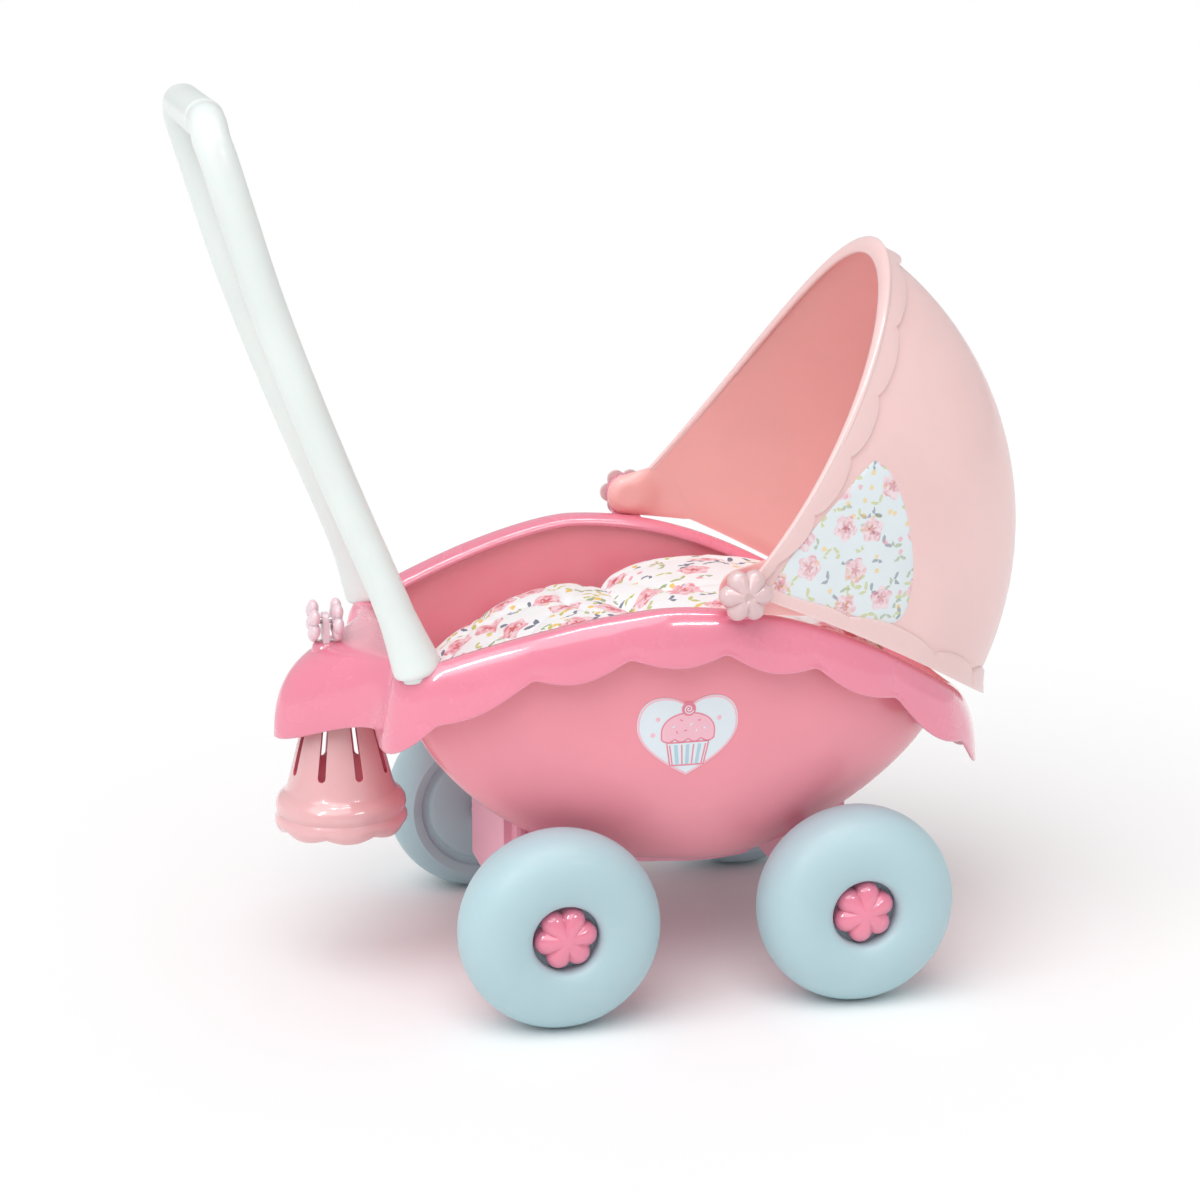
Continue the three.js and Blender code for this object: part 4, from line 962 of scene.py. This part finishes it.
def make_bell():
    """The slotted bell: one turned wall with eight lobes in its lower edge, then its slots cut."""
    bottom = BELL_BOTTOM * 1000
    x0 = (BELL_CENTRE.x - REAR_AXLE.x) * 1000
    outer = [(33.6, 0.4), (34.6, 0.0), (36.0, 2.2), (36.8, 5.0), (36.7, 7.2), (35.7, 9.2), (35.3, 10.2),
             (35.9, 11.6), (36.4, 14.0), (36.1, 16.8), (34.6, 19.4), (32.2, 21.6), (31.2, 22.3), (30.6, 23.4),
             (29.6, 26.0), (28.0, 32.0), (26.0, 40.0), (24.2, 47.0), (22.0, 55.0), (19.6, 64.0), (17.2, 72.0),
             (14.2, 79.0), (9.0, 83.6), (0.0, 84.8)]
    inner = [(0.0, 81.5), (8.0, 80.6), (12.4, 77.0), (15.0, 71.0), (17.4, 63.5), (19.7, 55.0), (21.9, 47.0),
             (23.7, 40.0), (25.8, 32.0), (27.6, 25.0), (31.0, 20.0), (33.4, 15.0), (33.2, 10.0), (33.0, 5.0),
             (32.6, 0.8)]
    points, faces = lathe(outer + inner, 160)
    placed = []
    for x, y, z in points:
        lobe = abs(math.cos(4 * math.atan2(z, x)))
        lift = 2.4 * (1 - lobe) * (1 - float(smooth(y, 0, 7)))
        swell = 1 + 0.012 * lobe * (1 - float(smooth(y, 3, 22)))
        placed.append((x0 + x * swell, z * swell, bottom + y + lift))
    corners = np.array(placed)
    radii, heights = np.hypot(corners[:, 0] - x0, corners[:, 1]), corners[:, 2] - bottom
    outer_r, outer_z = np.array(outer).T
    index = []
    for face in faces:
        r, z = np.mean(radii[list(face)]), np.mean(heights[list(face)])
        under_crown = 80 < z < 82 and r < 8
        inside = r < np.interp(z, outer_z, outer_r) - 1.1
        index.append(int(inside or under_crown))
    bell = make("bell_body", placed, faces, [BELL, BELL_IN], "pram_body", 45, ["bell_cage"],
                index)
    cutters = [slot_cutter(k, x0, bottom) for k in range(SLOT_COUNT)]
    for cutter in cutters:
        modifier = bell.modifiers.new("slot", "BOOLEAN")
        modifier.operation, modifier.solver, modifier.object = "DIFFERENCE", "EXACT", cutter
    apply_modifiers(bell)
    for cutter in cutters:
        bpy.data.objects.remove(cutter)
    bell.data.shade_smooth()
    bell.data.set_sharp_from_angle(angle=math.radians(42))


def make_deck_flower():
    """Two flowers of rounded beads on a shaft, the post that holds it and the collar round the post."""
    x0 = (SPINNER.x - REAR_AXLE.x) * 1000
    z0 = SPINNER.z * 1000
    bead = [(0.0, -1.0), (0.38, -0.92), (0.7, -0.7), (0.92, -0.38), (1.0, 0.0), (0.92, 0.38), (0.7, 0.7),
            (0.38, 0.92), (0.0, 1.0)]
    petals, petal_reach = 6, 7.4
    for name, offset, start in (("front", 6.5, 12), ("rear", -6.5, 34)):
        points, faces = [], []
        spots = [(0.0, 0.0, 4.6, 3.4)]
        for k in range(petals):
            turn = math.radians(start + 360 / petals * k)
            spots.append((petal_reach * math.cos(turn), petal_reach * math.sin(turn), 4.9, 3.2))
        for a, b, radius, half in spots:
            ball, ball_faces = lathe([(r * radius, h * half) for r, h in bead], 28)
            faces += [tuple(v + len(points) for v in f) for f in ball_faces]
            points += [(x0 + offset + y, a + x, z0 + b + z) for x, y, z in ball]
        flower = make(f"spinner_petals_{name}", points, faces, PEARL, "deck_flower", 70,
                      [f"deck_flower_{name}"])
        subdivide(flower)
    profile = [(0, -9.4), (2.2, -9.2), (2.6, -8.6), (2.6, -6), (1.8, -5.4), (1.8, 5.4), (2.6, 6), (2.6, 8.6),
               (2.2, 9.2), (0, 9.4)]
    points, faces = lathe(profile, 28)
    make("spinner_shaft", [(x0 + y, x, z0 + z) for x, y, z in points], faces, STEEL, "deck_flower", 40,
         ["deck_flower_shaft"])
    foot_z, half_thickness = 176, 1.9
    outline = [(-6.2, foot_z - z0), (6.2, foot_z - z0), (5.6, -14), (4.7, -4)] + arc(4.7, 0, 180, 12)
    outline += [(-4.7, -4), (-5.6, -14)]
    points = [(x0 + out, a, z0 + b) for out in (-half_thickness, half_thickness) for a, b in outline]
    post = make("spinner_post", points, tube_faces(2, len(outline)), PEARL, "pram_body", 35,
                ["deck_post"])
    modifier = post.modifiers.new("edges", "BEVEL")
    modifier.width, modifier.segments = 0.0006, 3
    apply_modifiers(post)
    ring = [(0, 191.0), (5.4, 190.6), (7.0, 189.2), (7.8, 186.5), (8.0, 178.0), (0, 178.0)]
    points, faces = lathe(ring, 40)
    make("spinner_collar", [(x0 + x, z, y) for x, y, z in points], faces, RIM, "pram_body", 45)


# ---- Heart labels ----


class Skin:
    """The tub's outer surface, for laying flat artwork on it from the side."""

    def __init__(self, tub):
        bpy.context.view_layer.update()
        self.tree = BVHTree.FromObject(tub, bpy.context.evaluated_depsgraph_get())

    def place(self, x, z, side, rise):
        start = at(x, side * 200, z)
        hit, normal, _, _ = self.tree.ray_cast(start, Vector((0, -side, 0)))
        if normal.y * side < 0:
            normal = -normal
        out = hit + normal * (rise / 1000)
        return ((out.x - REAR_AXLE.x) * 1000, out.y * 1000, out.z * 1000)


def patch(skin, outline, middle, side, low, high, rings):
    """A thin sheet between two heights over the skin, star-shaped about its middle."""
    return thin_sheet(outline, middle, rings, lambda x, z, rise: skin.place(x, z, side, rise), (high, low))


def stroke(skin, line, width, side, low, high, loop=False):
    """A thin printed line over the skin."""
    line = np.array(line, float)
    if loop:
        tangent = np.roll(line, -1, axis=0) - np.roll(line, 1, axis=0)
    else:
        tangent = np.gradient(line, axis=0)
    tangent /= np.maximum(np.linalg.norm(tangent, axis=1), 1e-9)[:, None]
    across = np.stack([-tangent[:, 1], tangent[:, 0]], axis=1) * width / 2
    points = []
    for p, a in zip(line, across):
        for (x, z), rise in (((p + a), high), ((p - a), high), ((p - a), low), ((p + a), low)):
            points.append(skin.place(x, z, side, rise))
    faces = grid_faces(len(line), 4, close_rows=loop, close_columns=True)
    if not loop:
        faces.append((0, 1, 2, 3))
        last = len(points)
        faces.append((last - 1, last - 2, last - 3, last - 4))
    return points, faces


def bezier(a, b, c, d, steps=14):
    t = np.linspace(0, 1, steps, endpoint=False)[:, None]
    a, b, c, d = (np.array(p, float) for p in (a, b, c, d))
    return (1 - t) ** 3 * a + 3 * t * (1 - t) ** 2 * b + 3 * t * t * (1 - t) * c + t**3 * d


def heart(width, height):
    w, h = width / 2, height / 2
    right = [bezier((0, -h), (w * 0.55, -h * 0.62), (w, -h * 0.2), (w, h * 0.3)),
             bezier((w, h * 0.3), (w, h * 0.85), (w * 0.72, h), (w * 0.5, h)),
             bezier((w * 0.5, h), (w * 0.24, h), (w * 0.04, h * 0.84), (0, h * 0.68))]
    half = np.concatenate(right)
    left = half[1:][::-1] * np.array((-1, 1))
    return np.concatenate([half, [(0, h * 0.68)], left])


def circle(x, z, radius, count=36):
    angles = np.linspace(0, 2 * math.pi, count, endpoint=False)
    return np.stack([x + radius * np.cos(angles), z + radius * np.sin(angles)], axis=1)


def cake_top():
    """Outline of the icing: a dome over a wavy lower edge."""
    half, waves = 14.5, 4
    dome = [(-half * math.cos(t), 2.0 + 11.5 * math.sin(t) ** 0.85) for t in np.linspace(0, math.pi, 30)]
    wave = [(x, -1.2 - 1.8 * abs(math.sin((x + half) / (2 * half) * waves * math.pi)))
            for x in np.linspace(half - 0.2, 0.2 - half, 41)]
    return dome + wave


def wrapper():
    """Outline of the paper case, with points along its sides."""
    corners = [(-11.5, -3.2), (11.5, -3.2), (9.2, -16.5), (-9.2, -16.5)]
    outline = []
    for (ax, az), (bx, bz) in zip(corners, corners[1:] + corners[:1]):
        outline += [(ax + (bx - ax) * t, az + (bz - az) * t) for t in np.linspace(0, 1, 10, endpoint=False)]
    return outline


def make_hearts(skin):
    """Heart labels with a plain cupcake, each colour a thin layer on the one below it."""
    for hand, side in SIDES:
        layers = {}

        def fill(name, material, outline, middle, low, high, rings):
            placed = np.array(outline) + HEART_CENTRE
            layers[name] = material, patch(skin, placed, HEART_CENTRE + middle, side, low, high, rings)

        def draw(name, material, line, width, low, high, loop=False):
            layers[name] = material, stroke(skin, np.array(line) + HEART_CENTRE, width, side, low, high, loop)

        fill("backing", FILM, heart(55, 45), (0, 3), 0.05, 0.4, 16)
        draw("border", INK_PALE, heart(53.4, 43.4), 0.9, 0.3, 0.52, loop=True)
        fill("icing", INK_PALE, cake_top(), (0, 5), 0.3, 0.5, 8)
        draw("icing_line", INK, cake_top(), 0.75, 0.4, 0.6, loop=True)
        fill("wrapper", FILM, wrapper(), (0, -9.6), 0.3, 0.48, 6)
        draw("wrapper_line", INK, wrapper(), 0.75, 0.4, 0.6, loop=True)
        for k in range(7):
            share = (k - 3) / 3.4
            line = [(share * 11.2 * (1 - 0.2 * t), -4.6 - 11.4 * t) for t in np.linspace(0, 1, 8)]
            material, width = (INK_BLUE, 1.9) if k % 2 else (INK, 0.7)
            draw(f"stripe_{k}", material, line, width, 0.4, 0.58)
        fill("cherry", INK, circle(0, 15.6, 3.9), (0, 15.6), 0.3, 0.62, 5)
        curl = [(0.75 * t * math.cos(3.4 * t), 15.6 + 0.75 * t * math.sin(3.4 * t))
                for t in np.linspace(0.3, 3.6, 40)]
        draw("cherry_curl", FILM, curl, 0.55, 0.5, 0.72)
        sprinkles = ((-8, 6, 0.4), (-4, 9.5, -0.5), (1.5, 7, 0.9), (6, 9, 0.1), (9, 4.5, -0.8),
                     (-1.5, 3.5, 0.2), (4.5, 3.2, 1.2), (-6.2, 2.8, -1.0))
        for k, (x, z, lean) in enumerate(sprinkles):
            line = [(x + t * math.cos(lean), z + t * math.sin(lean)) for t in np.linspace(-0.9, 0.9, 5)]
            draw(f"sprinkle_{k}", INK if k % 2 else FILM, line, 0.7, 0.4, 0.58)
        for k, (x, z) in enumerate(((-16.5, 10.5), (17, 9.5), (-19, 1.5))):
            fill(f"fleck_{k}", INK_PALE, circle(x, z, 1.3, 12), (x, z), 0.3, 0.5, 2)
        for name, (material, (points, faces)) in layers.items():
            stands_for = [f"heart_sticker_{hand}"] if name == "backing" else []
            make(f"heart_{hand}_{name}", points, faces, material, "pram_body", 60,
                 stands_for)


# ---- Bedding ----


def keep_inside(piece, clearance):
    """Moves a piece's points in, where they would reach the tub's inner wall less a clearance."""
    xs, ys, _, _, _ = rim_stations(360)
    plan_angle = np.arctan2(ys, xs - MIDSHIP_X)
    plan_radius = np.hypot(ys, xs - MIDSHIP_X) - 1 - WALL - clearance
    order = np.argsort(plan_angle)
    co = np.array([v.co for v in piece.data.vertices]) * 1000
    x, y, z = co[:, 0] - REAR_AXLE.x * 1000, co[:, 1], co[:, 2]
    edge_x = np.clip(x, RIM_REAR_X, RIM_FRONT_X)
    for _ in range(4):
        top = crest_height(edge_x) - TUB_EDGE_DROP
        depth = np.clip((top - z) / (top - TUB_BOTTOM_Z), 0, 0.97)
        along = np.where(x > TUB_CENTRE_X, fullness(depth, TUB_FRONT), fullness(depth, TUB_REAR))
        edge_x = np.clip(TUB_CENTRE_X + (x - TUB_CENTRE_X) / along, RIM_REAR_X - 40, RIM_FRONT_X + 40)
        across = fullness(depth, TUB_SIDE)
    edge_y = y / across
    angle, radius = np.arctan2(edge_y, edge_x - MIDSHIP_X), np.hypot(edge_y, edge_x - MIDSHIP_X)
    limit = np.interp(angle, plan_angle[order], plan_radius[order], period=2 * math.pi)
    ratio = np.minimum(1, limit / np.maximum(radius, 1e-6))
    new_x = TUB_CENTRE_X + (MIDSHIP_X + (edge_x - MIDSHIP_X) * ratio - TUB_CENTRE_X) * along
    co[:, 0] = np.where(ratio < 1, new_x, x) + REAR_AXLE.x * 1000
    co[:, 1] = np.where(ratio < 1, edge_y * ratio * across, y)
    piece.data.vertices.foreach_set("co", (co / 1000).ravel())
    piece.data.update()


def soft_form(name, x0, x1, z_low, top_at, half_width, segments=64):
    """A crowned closed cushion with a rounded plan that keeps inside the tub."""
    middle, half = (x0 + x1) / 2, (x1 - x0) / 2
    rows = []
    shares = [(0.35, 0.0), (0.7, 0.0), (0.93, 0.03), (0.985, 0.1), (1.0, 0.22), (1.0, 0.5), (0.995, 0.68),
              (0.975, 0.81), (0.93, 0.9), (0.84, 0.955), (0.68, 0.985), (0.42, 1.0), (0.18, 1.0)]
    for scale, height in shares:
        row = []
        for angle in np.linspace(0, 2 * math.pi, segments, endpoint=False):
            c, s = math.cos(angle), math.sin(angle)
            x = middle + half * scale * math.copysign(abs(c) ** 0.36, c)
            y = half_width(x) * scale * math.copysign(abs(s) ** 0.45, s)
            row.append((x, y, z_low + (top_at(x) - z_low) * height))
        rows.append(row)
    points, faces = capped_rings(rows)
    return make(name, points, faces, PRINT_CLOTH, None, 80)


def puff(piece, voxel, pressure, cap, frames=20):
    """Swells a cushion by a short cloth simulation with inner pressure, then fixes its mesh."""
    remesh = piece.modifiers.new("even", "REMESH")
    remesh.mode, remesh.voxel_size = "VOXEL", voxel
    apply_modifiers(piece)
    before = np.array([v.co for v in piece.data.vertices])
    cloth = piece.modifiers.new("cloth", "CLOTH")
    settings = cloth.settings
    settings.quality = 6
    settings.mass = 0.2
    settings.tension_stiffness = settings.compression_stiffness = 12
    settings.bending_stiffness = 0.4
    settings.use_pressure = True
    settings.uniform_pressure_force = pressure
    settings.effector_weights.gravity = 0
    cloth.collision_settings.use_collision = False
    cloth.point_cache.frame_start, cloth.point_cache.frame_end = 1, frames
    for step in range(1, frames + 1):
        bpy.context.scene.frame_set(step)
    apply_modifiers(piece)
    bpy.context.scene.frame_set(1)
    after = np.array([v.co for v in piece.data.vertices])
    if len(after) == len(before):
        move = after - before
        length = np.linalg.norm(move, axis=1)
        scale = np.minimum(1, cap / np.maximum(length, 1e-9))
        piece.data.vertices.foreach_set("co", (before + move * scale[:, None]).ravel())
        piece.data.update()
    return subdivide(piece)


def crumple(piece, waves):
    """Presses shallow folds into a cushion's upper part, each given as direction, pitch, depth and phase."""
    co = np.array([v.co for v in piece.data.vertices])
    normal = np.array([v.normal for v in piece.data.vertices])
    push = np.zeros(len(co))
    for (dx, dy), pitch, depth, phase in waves:
        run = co[:, 0] * dx + co[:, 1] * dy + 0.006 * np.sin(co[:, 1] * 55 + phase)
        push -= depth * np.exp(-np.abs(np.sin(math.pi * run / pitch + phase)) * 6)
    co += normal * (push * smooth(co[:, 2], BED_TOP + 0.004, BED_TOP + 0.02))[:, None]
    piece.data.vertices.foreach_set("co", co.ravel())
    piece.data.update()


def make_bedding():
    """The mattress, the blanket and the pillow, swelled by simulation, then creased."""
    bed = BED_TOP * 1000

    def width_at(x, z, clearance):
        """Half-width inside the tub, from the rim's plan and the tub's fullness."""
        top = crest_height(x) - TUB_EDGE_DROP
        depth = float(np.clip((top - z) / (top - TUB_BOTTOM_Z), 0, 0.98))
        if x < MIDSHIP_X:
            edge = rear_half_width(max(x, RIM_REAR_X))
        else:
            ahead = (x - MIDSHIP_X) / (RIM_FRONT_X - MIDSHIP_X)
            edge = RIM_HALF_WIDTH * max(0.0, 1 - ahead**FRONT_PLAN_POWER) ** (1 / FRONT_PLAN_POWER)
        return max(8.0, edge * float(fullness(depth, TUB_SIDE)) - WALL - clearance)

    def blanket_top(x):
        return bed + 5 + 40 * math.sin(math.pi / 2 * min(max((x + 42) / 100, 0), 1))

    def pillow_top(x):
        return bed + 58 - 20 * ((x - 130) / 80) ** 2

    mattress = soft_form("mattress_pad", -46, 196, bed - 38, lambda x: bed - 2,
                         lambda x: width_at(x, bed - 30, 6))
    blanket = soft_form("blanket_pad", -56, 82, bed + 1.5, blanket_top, lambda x: width_at(x, bed + 20, 6.5))
    pillow = soft_form("pillow_pad", 62, 204, bed + 1.5, pillow_top, lambda x: width_at(x, bed + 28, 6.5))
    puff(mattress, 0.006, 1.0, 0.002)
    puff(blanket, 0.005, 3.0, 0.004)
    puff(pillow, 0.005, 3.0, 0.004)
    crumple(blanket, [((1, 0.25), 0.043, 0.0028, 0.4), ((0.3, 1), 0.052, 0.0022, 1.1),
                      ((1, -0.6), 0.07, 0.002, 2.0)])
    crumple(pillow, [((0.9, 0.5), 0.06, 0.0025, 0.8), ((0.2, 1), 0.064, 0.0022, 2.1)])
    for piece, material, node, fill in ((mattress, PRINT_CLOTH, "mattress", 0.8),
                                        (blanket, PRINT_CLOTH, "blanket", 0.55),
                                        (pillow, PRINT_PILLOW, "pillow", 0.65)):
        keep_inside(piece, 1.2)
        piece.data.materials.clear()
        piece.data.materials.append(material)
        piece.data.shade_smooth()
        set_print_uv(piece, lambda co: (co.x + 0.35 * co.z, co.y + math.copysign(0.4, co.y) * (0.2 - co.z)))
        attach(piece, "pram_body")
        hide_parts(node)


# ---- Small CAD pieces that stay ----


def finish_cad_nodes():
    """Materials and softened edges for the CAD pieces that show as they are."""
    brackets = ["base_plate", "axle_bracket_rear", "axle_bracket_front"]
    steel = ["axle_rear", "axle_front", "bell_screw"] + [f"bracket_screw_{k}" for k in (1, 2, 3, 4)]
    steel += [f"{node}_{hand}" for node in ("handle_screw", "hood_pin", "axle_cap_rear", "axle_cap_front")
              for hand, _ in SIDES]
    for nodes, material, edge in ((brackets, BRACKET, 0.0006), (steel, STEEL, 0.0002)):
        for node in nodes:
            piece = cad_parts[node]
            for one in piece.material_slots:
                one.link = "OBJECT"
                one.material = material
            modifier = piece.modifiers.new("edges", "BEVEL")
            modifier.width, modifier.segments = edge, 2
            modifier.limit_method, modifier.angle_limit = "ANGLE", math.radians(35)
            modifier.harden_normals = False


# ---- Stage ----


def make_stage():
    scene = bpy.context.scene
    half = 20.0
    mesh = bpy.data.meshes.new("floor")
    corners = [(-half, -half, 0), (half, -half, 0), (half, half, 0), (-half, half, 0)]
    mesh.from_pydata(corners, [], [(0, 1, 2, 3)])
    n = Nodes("floor_paper")
    paper = n.mix(n.noise(3.0), (0.955, 0.955, 0.957, 1), (0.965, 0.965, 0.967, 1))
    n.link(paper, n.shader.inputs["Base Color"])
    n.set(Roughness=0.9)
    n.shader.inputs["Specular IOR Level"].default_value = 0.1
    mesh.materials.append(n.material)
    floor = bpy.data.objects.new("floor", mesh)
    scene.collection.objects.link(floor)

    world = bpy.data.worlds.new("studio")
    world.use_nodes = True
    tree = world.node_tree
    tree.nodes["Background"].inputs["Color"].default_value = (1, 1, 1, 1)
    seen = tree.nodes.new("ShaderNodeMapRange")
    seen.inputs["To Min"].default_value, seen.inputs["To Max"].default_value = 0.56, 0.985
    tree.links.new(tree.nodes.new("ShaderNodeLightPath").outputs["Is Camera Ray"], seen.inputs["Value"])
    tree.links.new(seen.outputs["Result"], tree.nodes["Background"].inputs["Strength"])
    scene.world = world

    sun = bpy.data.lights.new("key", "SUN")
    sun.energy = 1.85
    sun.angle = math.radians(60)
    key = bpy.data.objects.new("key", sun)
    key.rotation_euler = (math.radians(24), math.radians(-22), 0)
    scene.collection.objects.link(key)

    for name, place, width, height, power in (
        ("strip_top", (0.0, -0.3, 1.25), 0.9, 0.08, 7.0),
        ("strip_left", (-0.95, -0.75, 0.95), 0.1, 0.6, 5.5),
        ("strip_front", (0.45, -1.1, 0.95), 0.35, 0.12, 3.0),
    ):
        light = bpy.data.lights.new(name, "AREA")
        light.shape, light.size, light.size_y, light.energy = "RECTANGLE", width, height, power
        lamp = bpy.data.objects.new(name, light)
        lamp.location = place
        lamp.visible_diffuse = False
        direction = Vector((0, 0, 0.2)) - lamp.location
        lamp.rotation_euler = direction.to_track_quat("-Z", "Y").to_euler()
        scene.collection.objects.link(lamp)

    camera = bpy.data.cameras.new("camera")
    camera.sensor_width, camera.lens = 36.0, 84.0
    camera.clip_end = 100.0
    view = bpy.data.objects.new("camera", camera)
    view.location = (-0.3684, -1.4849, 0.5996)
    view.rotation_euler = (math.radians(75.5), 0, math.radians(-13.66))
    scene.collection.objects.link(view)
    scene.camera = view
    scene.view_settings.view_transform = "Standard"


make_stage()
make_rim()
make_ears()
tub_piece = make_tub()
make_wheels()
make_hub_flowers()
make_handle()
make_hood()
make_hood_bands()
make_hood_lip()
make_hood_hinges()
make_hood_prints()
make_knobs()
make_bell()
make_deck_flower()
make_hearts(Skin(tub_piece))
make_bedding()
finish_cad_nodes()
